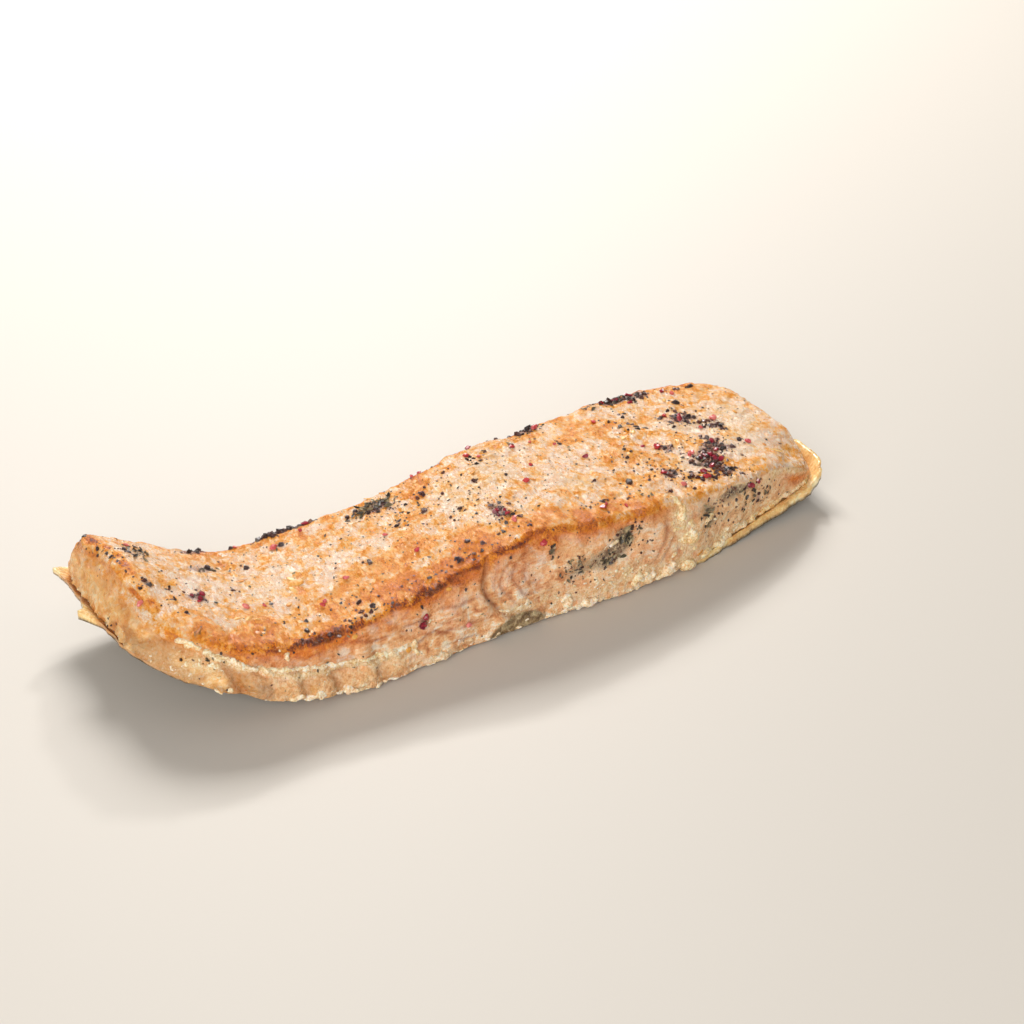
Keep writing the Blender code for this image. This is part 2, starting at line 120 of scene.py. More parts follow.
def along(stations, x):
    # smooth curve through the stations, level beyond both ends
    xs, ys = np.array(stations, float).T
    slopes = np.empty_like(ys)
    slopes[1:-1] = (ys[2:] - ys[:-2]) / (xs[2:] - xs[:-2])
    slopes[0] = (ys[1] - ys[0]) / (xs[1] - xs[0])
    slopes[-1] = (ys[-1] - ys[-2]) / (xs[-1] - xs[-2])
    x = np.clip(x, xs[0], xs[-1])
    i = np.clip(np.searchsorted(xs, x, side="right") - 1, 0, len(xs) - 2)
    h = xs[i + 1] - xs[i]
    t = (x - xs[i]) / h
    return (ys[i] * (1 + 2 * t) * (1 - t) ** 2 + slopes[i] * h * t * (1 - t) ** 2
            + ys[i + 1] * t * t * (3 - 2 * t) + slopes[i + 1] * h * t * t * (t - 1))


def ease(t):
    t = np.clip(t, 0.0, 1.0)
    return t * t * (3 - 2 * t)


def spot(x, y, cx, cy, rx, ry):
    # 1 in the middle of a soft oval, fading to 0
    return np.exp(-((x - cx) / rx) ** 2 - ((y - cy) / ry) ** 2)


def mottle(points, size, seed=0.0, octaves=1):
    # noise about -1 to 1 with patches of that size in mm, finer by halves for each octave
    size = np.broadcast_to(np.asarray(size, float), (3,))
    total = np.zeros(len(points))
    share = 1.0
    for octave in range(octaves):
        scaled = points / size * 2 ** octave + seed + 17.0 * octave
        total += share * np.array([noise.noise(p) for p in scaled.tolist()])
        share *= 0.5
    return total * 1.6


def underside(x):
    fromBelly, overBelly, bellyHeight = form["bellyCurl"]
    fromBack, overBack, backHeight = form["backCurl"]
    return (bellyHeight * (np.maximum(fromBelly - x, 0) / overBelly) ** 2
            + backHeight * (np.maximum(x - fromBack, 0) / overBack) ** 2)


def topHeight(x, y, v):
    twist = form["twist"]
    turn = np.minimum(np.maximum(twist["fromX"] - x, 0) / twist["over"], 1.3)
    bump = twist["height"] * turn * np.exp(-((y - twist["y"]) / twist["spread"]) ** 2)
    corner = form["droop"]
    droop = (corner["height"] * ease((x - corner["fromX"]) / corner["over"])
             * ease((y - corner["fromY"]) / (corner["toY"] - corner["fromY"])))
    return underside(x) + along(form["thickness"], x) + bump - droop + form["crown"] * (1 - v * v)


def roundPlan(x, y, halfX, halfY):
    # the four corners of the box, each with its own radius
    radii = form["cornerRadii"]
    radius = np.where(x < 0, np.where(y < 0, radii["nearBelly"], radii["farBelly"]),
                      np.where(y < 0, radii["nearBack"], radii["farBack"]))
    dx, dy = np.abs(x) - (halfX - radius), np.abs(y) - (halfY - radius)
    corner = (dx > 0) & (dy > 0)
    keep = np.where(corner, np.maximum(dx, dy) / np.maximum(np.hypot(dx, dy), 1e-9), 1)
    return (np.where(corner, np.sign(x) * (halfX - radius + dx * keep), x),
            np.where(corner, np.sign(y) * (halfY - radius + dy * keep), y))


def roundEdges(x, y, z, halfX, halfY, height):
    # top and bottom edges of a box that stands on z = 0
    inset = np.minimum(halfX - np.abs(x), halfY - np.abs(y))
    soft = ease((-x / halfX - 0.78) / 0.2) * ease((-y / halfY - 0.1) / 0.7)
    top = form["topRounding"] + (form["softShoulder"] - form["topRounding"]) * soft
    foot = form["footRounding"]
    nearX = halfX - np.abs(x) < halfY - np.abs(y)
    for radius, rise, isTop in ((top, z - (height - top), True), (foot, foot - z, False)):
        out = radius - inset
        here = (out > 0) & (rise > 0)
        keep = np.where(here, np.maximum(out, rise) / np.maximum(np.hypot(out, rise), 1e-9), 1)
        inward = np.where(here, out - out * keep, 0)
        x = np.where(nearX, x - np.sign(x) * inward, x)
        y = np.where(nearX, y, y - np.sign(y) * inward)
        level = height - top + rise * keep if isTop else foot - rise * keep
        z = np.where(here, level, z)
    return x, y, z


def placeInOutline(s, v, w, grow):
    share = (v + 1) / 2
    bellyLean = form["bellyLean"] + (form["farCornerLean"] - form["bellyLean"]) * ease((share - 0.6) / 0.4)
    bulge = 4 * share * (1 - share)
    belly = form["bellyX"] - form["bellyBulge"] * bulge - grow["belly"] + bellyLean * w
    back = form["backX"] + form["backBulge"] * bulge + grow["back"] - form["backLean"] * w
    x = belly + (back - belly) * s
    near = along(form["nearFace"], x) - grow["near"] + along(form["nearLean"], x) * w
    far = along(form["farFace"], x) + grow["far"] - form["farLean"] * w
    return x, near + (far - near) * share


noGrowth = {"belly": 0, "back": 0, "near": 0, "far": 0}


# Modelling helpers, used as by hand

def startFresh():
    if bpy.context.mode != "OBJECT":
        bpy.ops.object.mode_set(mode="OBJECT")
    bpy.ops.object.select_all(action="DESELECT")


def griddedBox(name, cells):
    # a cube cut into a grid, one direction at a time; more than 60 cells are a multiple of 12
    startFresh()
    bpy.ops.mesh.primitive_cube_add(size=1, location=(0, 0, 0))
    box = bpy.context.object
    box.name = box.data.name = name
    passes = [(axis, parts) for axis, count in enumerate(cells)
              for parts in ((count,) if count <= 60 else (count // 12, 12)) if parts > 1]
    for axis, parts in passes:
        bpy.ops.object.mode_set(mode="EDIT")
        bpy.ops.mesh.select_mode(type="EDGE")
        bpy.ops.mesh.select_all(action="DESELECT")
        bpy.ops.object.mode_set(mode="OBJECT")
        places = getPlaces(box)
        ends = np.empty(len(box.data.edges) * 2, int)
        box.data.edges.foreach_get("vertices", ends)
        ends = ends.reshape(-1, 2)
        runs = np.abs(places[ends[:, 0], axis] - places[ends[:, 1], axis]) > 1e-5
        box.data.edges.foreach_set("select", runs)
        bpy.ops.object.mode_set(mode="EDIT")
        bpy.ops.mesh.subdivide(number_cuts=parts - 1)
        bpy.ops.object.mode_set(mode="OBJECT")
    return box


def readVectors(data, name):
    values = np.empty(len(data) * 3)
    data.foreach_get(name, values)
    return values.reshape(-1, 3)


def getPlaces(obj):
    return readVectors(obj.data.vertices, "co")


def getNormals(obj):
    return readVectors(obj.data.vertex_normals, "vector")


def setPlaces(obj, places):
    obj.data.vertices.foreach_set("co", places.astype(np.float32).ravel())
    obj.data.update()


def paint(obj, name, values):
    # a number for each vertex, read by the finish
    attribute = obj.data.attributes.new(name, "FLOAT", "POINT")
    attribute.data.foreach_set("value", np.asarray(values, np.float32))


def applyModifier(obj, modifier):
    startFresh()
    bpy.context.view_layer.objects.active = obj
    obj.select_set(True)
    bpy.ops.object.modifier_apply(modifier=modifier.name)


def report(piece):
    piece.data.calc_loop_triangles()
    print(piece.name, len(piece.data.loop_triangles), "triangles")


# Finishes

class Signal:
    # a shader socket that can stand in a sum
    def __init__(self, finish, socket):
        self.finish = finish
        self.socket = socket

    def __add__(self, other):
        return self.finish.maths("ADD", self, other)

    def __radd__(self, other):
        return self.finish.maths("ADD", other, self)

    def __sub__(self, other):
        return self.finish.maths("SUBTRACT", self, other)

    def __rsub__(self, other):
        return self.finish.maths("SUBTRACT", other, self)

    def __mul__(self, other):
        return self.finish.maths("MULTIPLY", self, other)

    def __rmul__(self, other):
        return self.finish.maths("MULTIPLY", other, self)


class Finish:
    # a material and the nodes that make it
    def __init__(self, name):
        self.material = bpy.data.materials.new(name)
        self.material.use_nodes = True
        self.tree = self.material.node_tree
        self.shader = self.tree.nodes["Principled BSDF"]
        self.place = self.node("ShaderNodeTexCoord", output="Object")

    def node(self, kind, settings=None, sockets=None, output=0):
        node = self.tree.nodes.new(kind)
        for key, value in (settings or {}).items():
            if key == "stops":
                while len(node.color_ramp.elements) < len(value):
                    node.color_ramp.elements.new(0.5)
                for element, (position, colour) in zip(node.color_ramp.elements, value):
                    element.position = position
                    element.color = (*colour, 1)
            else:
                setattr(node, key, value)
        for key, value in (sockets or {}).items():
            self.feed(node.inputs[key], value)
        return Signal(self, node.outputs[output])

    def feed(self, socket, value):
        if isinstance(value, Signal):
            self.tree.links.new(value.socket, socket)
        elif isinstance(value, (tuple, list)) and len(value) == 3 and len(socket.default_value) == 4:
            socket.default_value = (*value, 1)
        else:
            socket.default_value = value

    def maths(self, operation, a, b):
        return self.node("ShaderNodeMath", {"operation": operation}, {0: a, 1: b})

    def clamp(self, a):
        return self.node("ShaderNodeClamp", sockets={"Value": a})

    def attributes(self, names):
        return [self.node("ShaderNodeAttribute", {"attribute_name": name}, output="Fac")
                for name in names.split()]

    def scaled(self, stretch):
        if stretch is None:
            return self.place
        return self.node("ShaderNodeVectorMath", {"operation": "MULTIPLY"}, {0: self.place, 1: stretch})

    def noise(self, size, detail=2.0, roughness=0.5, distortion=0.0, stretch=None):
        # patches of about that size in mm
        return self.node("ShaderNodeTexNoise", sockets={
            "Vector": self.scaled(stretch), "Scale": 1 / (size * mm), "Detail": detail,
            "Roughness": roughness, "Distortion": distortion})

    def cells(self, size, stretch=None):
        return self.node("ShaderNodeTexVoronoi", sockets={
            "Vector": self.scaled(stretch), "Scale": 1 / (size * mm)}, output="Distance")

    def span(self, value, low, high, toLow=0.0, toHigh=1.0):
        return self.node("ShaderNodeMapRange", {"interpolation_type": "SMOOTHSTEP"}, {
            "Value": value, "From Min": low, "From Max": high, "To Min": toLow, "To Max": toHigh},
            output="Result")

    def mix(self, a, b, mask):
        # b lies over a; a plain tuple is a display colour
        a, b = (linear(*side) if isinstance(side, tuple) else side for side in (a, b))
        return self.node("ShaderNodeMix", {"data_type": "RGBA"}, {0: mask, 6: a, 7: b}, output=2)

    def over(self, base, *layers):
        # each layer, a colour and its mask, lies over those before it
        for colour, mask in layers:
            base = self.mix(base, colour, mask)
        return base

    def ramp(self, value, stops):
        # each stop is its position and its display colour
        stops = [(position, linear(*colour)) for position, *colour in stops]
        return self.node("ShaderNodeValToRGB", {"stops": stops}, {"Fac": value}, output="Color")

    def bump(self, height, distance, strength):
        return self.node("ShaderNodeBump", sockets={
            "Height": height, "Distance": distance * mm, "Strength": strength}, output="Normal")

    def finish(self, **sockets):
        for key, value in sockets.items():
            self.feed(self.shader.inputs[key.replace("_", " ")], value)
        return self.material


def linear(*srgb):
    # display colour 0 to 255, as the shader wants it
    return tuple(((c / 255 + 0.055) / 1.055) ** 2.4 if c > 10 else c / 255 / 12.92 for c in srgb)


# The flesh

fleshTune = {
    "cells": (456, 120, 36), "box": (212.0, 54.0, 22.0), "keep": 0.645,
    # relief in mm, and where its lines lie
    "folds": 0.24, "crustGrain": 0.09, "wallGrain": 0.13, "lowerGrain": 0.30, "blisters": 0.35,
    "flakeGap": 0.3, "flakeEdge": 0.32, "seamRidge": 0.85, "seamGroove": 0.45, "foot": (0.5, 0.35),
    "topGaps": (-86, -64, -41, -20, 3, 26, 49, 78, 93),
    "bellyCracks": [(-89, 0.9), (-81, 0.5), (-71.5, 0.6), (-63, 0.5), (-55, 0.5), (-50, 0.4)],
    "flakeRings": [(13, 1), (10.4, 0.4), (8.4, 0.7), (5.6, 0.8), (4.4, 0.3), (2.8, 0.6)],   # radius, depth
    # seared brown next to the near top edge: share and reach in mm on the edge, then beyond it
    "searOnTop": (0.85, 1.4, 0.22, 4.0), "searOnWall": (0.95, 1.1, 0.3, 2.2),
    "bellySear": 0.8, "farSear": 0.4,   # share on the belly end's and the far top edge
    # gold and cream: share, with its reach in mm where it fades from an edge
    "goldNearEdge": (1.0, 7.0), "goldFarEdge": (0.8, 6.0), "goldBelly": (1.3, 3.6), "goldAll": 0.22,
    "glowReach": 4.2, "cream": 0.42, "seamCream": 1.3, "creamDrip": 1.2, "grainStain": (0.55, 0.75),
    # how strongly the near top edge is seared, by x
    "rim": [(-104, 0.18), (-95, 0.15), (-86, 0.35), (-78, 0.7), (-68, 0.95), (-58, 1), (-40, 1),
        (-22, 0.95), (-8, 0.8), (4, 0.5), (16, 0.28), (30, 0.14), (42, 0.08), (54, 0.03), (72, 0.06),
        (90, 0.04)],
    # orange under the near top edge, by x
    "glow": [(-104, 0.9), (-92, 1.1), (-78, 1.2), (-58, 1.2), (-40, 1), (-20, 1.2), (-4, 1), (8, 1.1),
        (30, 1), (44, 0.8), (56, 0.25), (74, 0.15), (84, 0.5), (108, 0.8)],
    # golden patches on the top: x, y, half length, half width, share
    "gold": [(-59, -2, 2.2, 4.2, 1), (-28, -10, 12, 6, 0.8), (-46, -19, 13, 5, 0.8), (-72, -15, 8, 4, 0.7),
        (-69.5, 6, 1.2, 5, 0.8), (-79, -11, 4, 3, 0.7), (-18, -22, 12, 4, 0.9), (-39, 13, 5, 4, 0.4),
        (-13, 12, 8, 4, 0.4), (8, -26, 16, 3.5, 0.8), (5, -9, 5, 4, 0.4), (40, -14, 5, 4, 0.4),
        (51, -3, 6.5, 5.5, 0.9), (54, 14, 7, 4, 0.5), (55, 30.5, 6, 2, 0.7), (25, 27, 7, 1.5, 0.8),
        (42, 27, 6, 1.8, 0.8), (82, 31, 8, 2, 0.8), (95, -18, 2.5, 2.5, 1), (64, -22, 9, 3, 0.5),
        (-30, 22, 14, 1.5, 0.6), (66, 21, 3, 2, 0.7), (4.5, 7.5, 2, 3, 0.6), (-11, 8, 8, 16, 0.4),
        (50, 8, 9, 9, 0.6), (-10, -14, 7, 6, 0.4), (84, 22, 1.4, 7, 0.6), (90, 24, 1.2, 7, 0.5),
        (78, 20, 1.2, 6, 0.5)],
    # where the cream film is thick: x, y, half length, half width, share
    "milk": [(88, 0, 10, 14, 0.6), (-84, 12, 8, 12, 0.5), (-66, 0, 13, 12, 0.8), (-6, 0, 8, 12, 0.9),
        (10, 6, 12, 13, 0.9), (75, 6, 9, 6, 0.9), (86, -12, 8, 6, 1), (99, 8, 9, 18, 0.8),
        (28, 14, 12, 6, 0.6), (28, -10, 9, 8, 0.9), (10, -14, 6, 4, 0.4), (-40, 2, 12, 10, 0.6),
        (63, -14, 5, 8, 0.8), (72, 22, 12, 5, 0.5), (46, 8, 8, 6, 0.5)],
    # purple-grey wet stain among the grains
    "stain": [(71, -14, 5, 5, 0.8), (78, -9, 5, 4, 0.5), (80, 8, 7, 4, 0.4), (68, 29, 9, 2.5, 0.6),
        (-80, 13, 4, 2.4, 0.7), (-76, 26, 4, 2, 0.8), (-50, 24.5, 6, 1.8, 0.6), (0, -12, 2.5, 3, 0.6),
        (-88, 0, 4, 2.6, 0.6), (-54, 16, 3, 2, 0.3), (58, -16, 3, 5, 0.3)],
    # green-grey herb stain on the top
    "herbTop": [(-24, 14, 6, 3, 1), (-92, 22, 3, 4.5, 0.7), (-77, 14, 4, 1.6, 0.5), (44, -22, 5, 2, 0.3),
        (72, 29, 7, 2, 0.4)],
    # on the near face: x, z, half length, half height, share
    "herbSide": [(15, 14, 7, 4.5, 0.75), (7.5, 22, 1.2, 2.6, 0.9), (24, 14, 4, 3, 0.8),
        (30.5, 19, 3.2, 3.4, 1.1), (27, 16.5, 5, 3, 0.7), (56, 18, 5, 2.5, 0.5), (60.5, 14, 2.6, 3.5, 0.8),
        (67, 12, 6, 5, 0.45), (80, 13, 8, 6, 0.4), (71, 18, 7, 2.2, 0.9), (-101, 19, 3, 4, 0.25)],
    "curdSide": [(-96, 18, 7, 3, 0.7), (-30, 1.5, 8, 1.6, 0.9), (-5, 7.5, 5, 1.8, 1.1),
        (20, 5.5, 14, 2.2, 0.8), (50, 19, 3.4, 5, 1.2), (53, 11, 5, 4, 1), (47, 4, 11, 3, 1),
        (72, 4, 13, 2, 0.9), (96, 5, 9, 2, 0.7), (33, 9, 6, 2, 0.6), (4, 8.5, 5, 2, 0.8),
        (-60, 3, 10, 2, 0.4)],
    "pinkSide": [(-1, 17, 7, 5, 0.6), (-21, 8.5, 2.4, 1.4, 0.9), (12, 9, 8, 2.5, 0.4),
        (-102, 24, 2.5, 2.5, 0.4), (40, 12, 8, 4, 0.5), (-28, 13, 9, 3, 0.35)],
    "plumSide": [(-34.5, 14, 1.7, 2, 1.2), (81.5, 11, 1.6, 3, 0.8), (77.5, 17.5, 1.4, 1.4, 0.8)],
    "skinSide": [(-4, 3, 8.5, 2.4, 1.2), (-9, 1.5, 6, 1.5, 0.8)],
}


def fleshSketch(box, size):
    # plan position and shares of every vertex of the gridded box
    halfX, halfY, height = size[0] / 2, size[1] / 2, size[2]
    x, y, z = roundEdges(box[:, 0] * size[0], box[:, 1] * size[1], (box[:, 2] + 0.5) * height,
                         halfX, halfY, height)
    x, y = roundPlan(x, y, halfX, halfY)
    s, v, w = x / size[0] + 0.5, y / halfY, z / height
    x, y = placeInOutline(s, v, w, noGrowth)
    return x, y, s, v, w


def nearGaps(x, w):
    # the cracks and the curved gap in the near face, as on the solid
    depth = sum(deep * np.exp(-((x - at + 4 * (w - 0.5)) / width) ** 2) * ease((0.8 - w) / 0.3)
                for at, deep, width in form["cracks"])
    ring = form["ring"]
    reach = np.hypot((x - ring["x"]) / ring["stretch"], along(form["thickness"], x) * w - ring["height"])
    return depth + (ring["depth"] * ease((ring["x"] + 2.5 - x) / 7)
                    * np.exp(-((reach - ring["reach"]) / ring["width"]) ** 2))


def bigRelief(x, y, s, v, w):
    # swelling faces, the seam's proud lower band and slow unevenness, as on the solid
    ends = np.abs(2 * s - 1)
    onWall = ease((np.maximum(np.abs(v), ends) - 0.9) / 0.1)
    outX = np.sign(s - 0.5) * ease((ends - 0.93) / 0.07)
    outY = np.sign(v) * ease((np.abs(v) - 0.9) / 0.1)
    points = np.stack([x / 7, y / 7, (topHeight(x, y, v) * w) / 5], axis=1)
    grain = mottle(points, 1) * 0.56
    swell = form["swell"] * np.sin(np.pi * w) * onWall
    nearSeam = (v < -0.9) & (x > -104) & (x < -36)
    swell = swell + np.where(nearSeam, form["seamStep"] * ease((along(form["seam"], x) - w) / 0.18)
                             * ease((-36 - x) / 10), 0)
    swell = swell - np.where(v < -0.9, nearGaps(x, w), 0)
    return x + outX * (swell + grain * onWall), y + outY * (swell + grain * onWall)


def shapeFlesh():
    tune = fleshTune
    flesh = griddedBox("flesh", tune["cells"])
    x, y, s, v, w = fleshSketch(getPlaces(flesh), tune["box"])
    x, y = bigRelief(x, y, s, v, w)
    pastSkin = ease((-v - 0.9) / 0.1) * ease((46 - x) / 12) * ease((x + 88) / 8)
    floor = underside(x) + form["skinThick"] + form["gap"] - form["footReach"] * pastSkin
    slow = mottle(np.stack([x, y, x * 0], axis=1), (11, 8, 1), 3.0) * 0.5
    top = topHeight(x, y, v) + slow
    z = floor + (top - floor) * w
    return flesh, np.stack([x, y, z], axis=1), s, v, w


def ridge(value, width):
    # 1 on the line where value is 0, falling to 0 over width
    return np.exp(-(value / width) ** 2)


def seamRun(x):
    # the part of the near face where cream stands in the seam
    return ease((-38 - x) / 8) * ease((x + 100) / 6)


def seamLine(points, w):
    # height above the wavy seam of the near face, about in mm
    wave = 0.05 * mottle(points, 5, 19.0) + 0.02 * mottle(points, 1.8, 20.0)
    return (w - along(form["seam"], points[:, 0]) - wave) * 18


def flakeLines(x, rise, points):
    # edges of the flakes in the near face: level by the belly, rings in the middle, steep beyond them
    wander = mottle(points, 8, 51.0, 2)
    fading = ease((mottle(points, 6, 53.0) + 0.7) / 0.9)
    level = np.zeros(len(x))
    for k in range(10):
        level += (0.5 + 0.5 * math.sin(k * 2.4)) * ridge(rise - 0.05 * (x + 60) - 2.3 * k - 1.3 * wander, 0.5)
    level *= ease((-13 - x) / 8) * ease((x + 96) / 10)
    ring = form["ring"]
    ringX, ringZ = (x - ring["x"]) / ring["stretch"], rise - ring["height"]
    radius = np.hypot(ringX, ringZ) + 1.3 * wander
    rings = sum(deep * ridge(radius - reach, 0.5) for reach, deep in fleshTune["flakeRings"])
    rings = rings * ease((4.5 - ringX) / 7) * ease((x + 18) / 5)
    steep = sum(ridge(0.86 * x - 0.5 * rise - 4.2 * k - 1.5 * wander, 0.6) for k in range(6, 14))
    steep *= ease((x - 31) / 5) * ease((60 - x) / 8) * ease((rise - 5) / 4)
    return (level * fading + rings + 0.7 * steep * fading).clip(0, 1.2)


def fineRelief(points, normals, w):
    # mm to move each vertex along its normal
    tune = fleshTune
    x, y, z = points.T
    up = ease((normals[:, 2] - 0.35) / 0.4)
    side = ease((0.6 - np.abs(normals[:, 2])) / 0.3)
    near = side * ease((-normals[:, 1] + 0.1) / 0.5)
    warp = mottle(points, 9, 5.0)
    # top: small folds of the crust, grain, blisters, and faint gaps between the flakes
    folds = 1 - np.abs(mottle(points, (2.1, 2.7, 3), 1.0, 2))
    move = up * tune["folds"] * (folds - 0.6)
    move += up * tune["crustGrain"] * mottle(points, 1.05, 7.0)
    blisters = mottle(points, (5.5, 4, 4), 31.0)
    move += up * tune["blisters"] * ease((blisters - 0.1) / 0.6)
    for gapX in tune["topGaps"]:
        line = x - gapX - 5 * np.sin(y / 9 + gapX) * 0.5 - 2.5 * warp
        move -= up * tune["flakeGap"] * ridge(line, 0.7)
    # walls: slow flake edges, then grain, coarser in the lower band
    lower = near * ease((along(form["seam"], x) - w) / 0.1) * ease((-30 - x) / 16)
    move += side * tune["wallGrain"] * mottle(points, (2.4, 2.4, 1.3), 11.0, 2)
    move += side * lower * tune["lowerGrain"] * mottle(points, 1.3, 13.0)
    move -= near * (1 - lower) * tune["flakeEdge"] * flakeLines(x, z - underside(x), points)
    # the cream ridge at the seam, and the groove under it
    seam = seamLine(points, w)
    broken = ease((mottle(points, 3.0, 37.0) + 0.75) / 0.5)
    move += near * tune["seamRidge"] * ridge(seam, 0.8) * seamRun(x) * broken
    move -= near * tune["seamGroove"] * ridge(seam + 1.6, 0.8) * seamRun(x)
    # upright cracks at the belly end of the near face
    for crackX, depth in tune["bellyCracks"]:
        line = x - crackX + 1.2 * mottle(points, 4, 23.0) + 4 * (w - 0.5)
        move -= near * depth * ridge(line, 0.55) * ease((0.8 - w) / 0.3)
    # the foot is ragged
    coarse, fine = tune["foot"]
    foot = side * ease((0.22 - w) / 0.2)
    move += foot * (coarse * mottle(points, 2.2, 41.0) + fine * mottle(points, 1.0, 43.0))
    return move


def patches(x, y, spots):
    return sum(share * spot(x, y, *place) for *place, share in spots)


def paintFlesh(flesh, points, normals, s, v, w):
    tune = fleshTune
    x, y, z = points.T
    up = ease((normals[:, 2] - 0.30) / 0.35) * ease((w - 0.5) / 0.2)
    side = 1 - up
    warp = mottle(points, 6, 2.0, 2)
    fine = mottle(points, 1.3, 4.0, 2)
    nearWall = side * ease((-normals[:, 1] + 0.1) / 0.4)
    bellyWall = side * ease((-normals[:, 0] - 0.15) / 0.4)
    nearEdge = along(form["nearFace"], x) + along(form["nearLean"], x)
    farEdge = along(form["farFace"], x) - form["farLean"]
    inward = np.maximum(y - nearEdge - 0.6 * warp, 0)   # mm from the near top edge
    below = np.maximum((1 - w) * (along(form["thickness"], x) - 1.5), 0)   # mm under the top
    rim = along(tune["rim"], x)
    # seared brown: strongest on the edge itself, fading over the top and down the wall
    blotch = 0.9 + 0.35 * mottle(points, (7, 5, 5), 61.0)
    edge, edgeReach, beyond, reach = tune["searOnTop"]
    wavy = edgeReach + 0.6 * warp.clip(-0.5, 1)
    onTop = beyond * np.exp(-inward / reach) + edge * np.exp(-(inward / wavy) ** 2)
    edge, edgeReach, beyond, reach = tune["searOnWall"]
    onWall = edge * np.exp(-(below / edgeReach) ** 2) + beyond * np.exp(-below / reach)
    onEdge = up * onTop * (0.85 + 0.45 * fine) + nearWall * onWall * (0.9 + 0.3 * fine)
    sear = (rim * blotch.clip(0.6, 1.2) * onEdge).clip(0, 0.95)
    bellyLine = ridge(np.maximum(s * tune["box"][0] - 0.5 * warp, below), 1.2) * ease((y + 8) / 8)
    sear += tune["bellySear"] * bellyLine * (0.9 + 0.3 * fine)
    farLine = np.exp(-((farEdge - y) / 1.6) ** 2)
    sear += tune["farSear"] * farLine * (0.5 + 0.9 * warp).clip(0, 1) * ease((w - 0.6) / 0.3)
    # golden
    gold = patches(x, y, tune["gold"]) * up
    share, reach = tune["goldNearEdge"]
    gold += up * share * np.exp(-inward / reach) * ease((56 - x) / 20) * (1 + 0.5 * warp)
    gold += up * tune["goldAll"] * ease((warp + 0.2) / 0.8)
    share, reach = tune["goldBelly"]
    gold += bellyWall * share * np.exp(-(below / reach) ** 1.6) * ease((y + 12) / 14)
    glow = np.exp(-(below / tune["glowReach"]) ** 1.5)
    gold += nearWall * along(tune["glow"], x) * (1 + 0.3 * warp) * glow
    share, reach = tune["goldFarEdge"]
    gold += up * share * np.exp(-np.maximum(farEdge - y, 0) / reach) * (1 + 0.4 * warp)
    gold += nearWall * (1.1 * spot(x, z, 100, 12, 6, 4) + 0.5 * spot(x, z, 44, 23, 5, 2))
    honey = bellyWall * (0.8 + 0.3 * warp) + nearWall * 0.5 * ease((-78 - x) / 16)
    # cream: a film on the top, a line in the seam, and a drip down the near face towards the back end
    milk = (tune["cream"] + patches(x, y, tune["milk"])) * up
    milk *= ease((inward - 2.5) / 7 + ease((x - 40) / 12))
    milk += tune["seamCream"] * nearWall * ridge(seamLine(points, w), 0.9) * seamRun(x)
    milk += (tune["creamDrip"] * (1 - 0.5 * up) * (nearWall + up * np.exp(-inward)) * ease((x - 64) / 8)
             * np.exp(-(below / 4) ** 2) * (0.8 + warp))
    # wet stain round the grains
    stain = patches(x, y, tune["stain"])
    share, reach = tune["grainStain"]
    for crumbX, crumbY, size in crumbPlaces():
        stain += share * spot(x, y, crumbX, crumbY, reach * size, reach * size)
    stain *= up
    stain += nearWall * patches(x, z, tune["plumSide"])
    herb = patches(x, y, tune["herbTop"]) * up + nearWall * patches(x, z, tune["herbSide"])
    curd = nearWall * patches(x, z, tune["curdSide"])
    pink = nearWall * patches(x, z, tune["pinkSide"]) + 0.5 * up * spot(x, y, -102, 1, 3, 3)
    foot = nearWall * patches(x, z, tune["skinSide"])
    lower = nearWall * ease((along(form["seam"], x) - w) / 0.12) * ease((-30 - x) / 20)
    grey = (nearWall * (ease((x - 56) / 12) * 0.8 + 0.25 * ease((x - 4) / 12))
            + side * ease((normals[:, 0] - 0.3) / 0.4) * 0.6)
    # painted shade: darker in the cracks and gaps between the flakes of the near face, and over its belly end
    # towards the foot
    gaps = np.where(v < -0.9, nearGaps(x, w), 0) * nearWall
    gaps += nearWall * (0.5 + 1.2 * ease((0.5 - w) / 0.4)) * ease((-74 - x) / 14) * (1 + warp)
    # painted shade along the grooved flake edges
    lines = nearWall * (1 - 0.7 * lower) * flakeLines(x, z - underside(x), points)
    layers = {"onTop": up, "sear": sear, "gold": gold, "milk": milk, "stain": stain, "herb": herb,
              "curd": curd, "foot": foot, "lower": lower, "pink": pink, "grey": grey, "gaps": gaps,
              "lines": lines, "honey": honey}
    for name, values in layers.items():
        paint(flesh, name, np.clip(values, 0, 1.3))


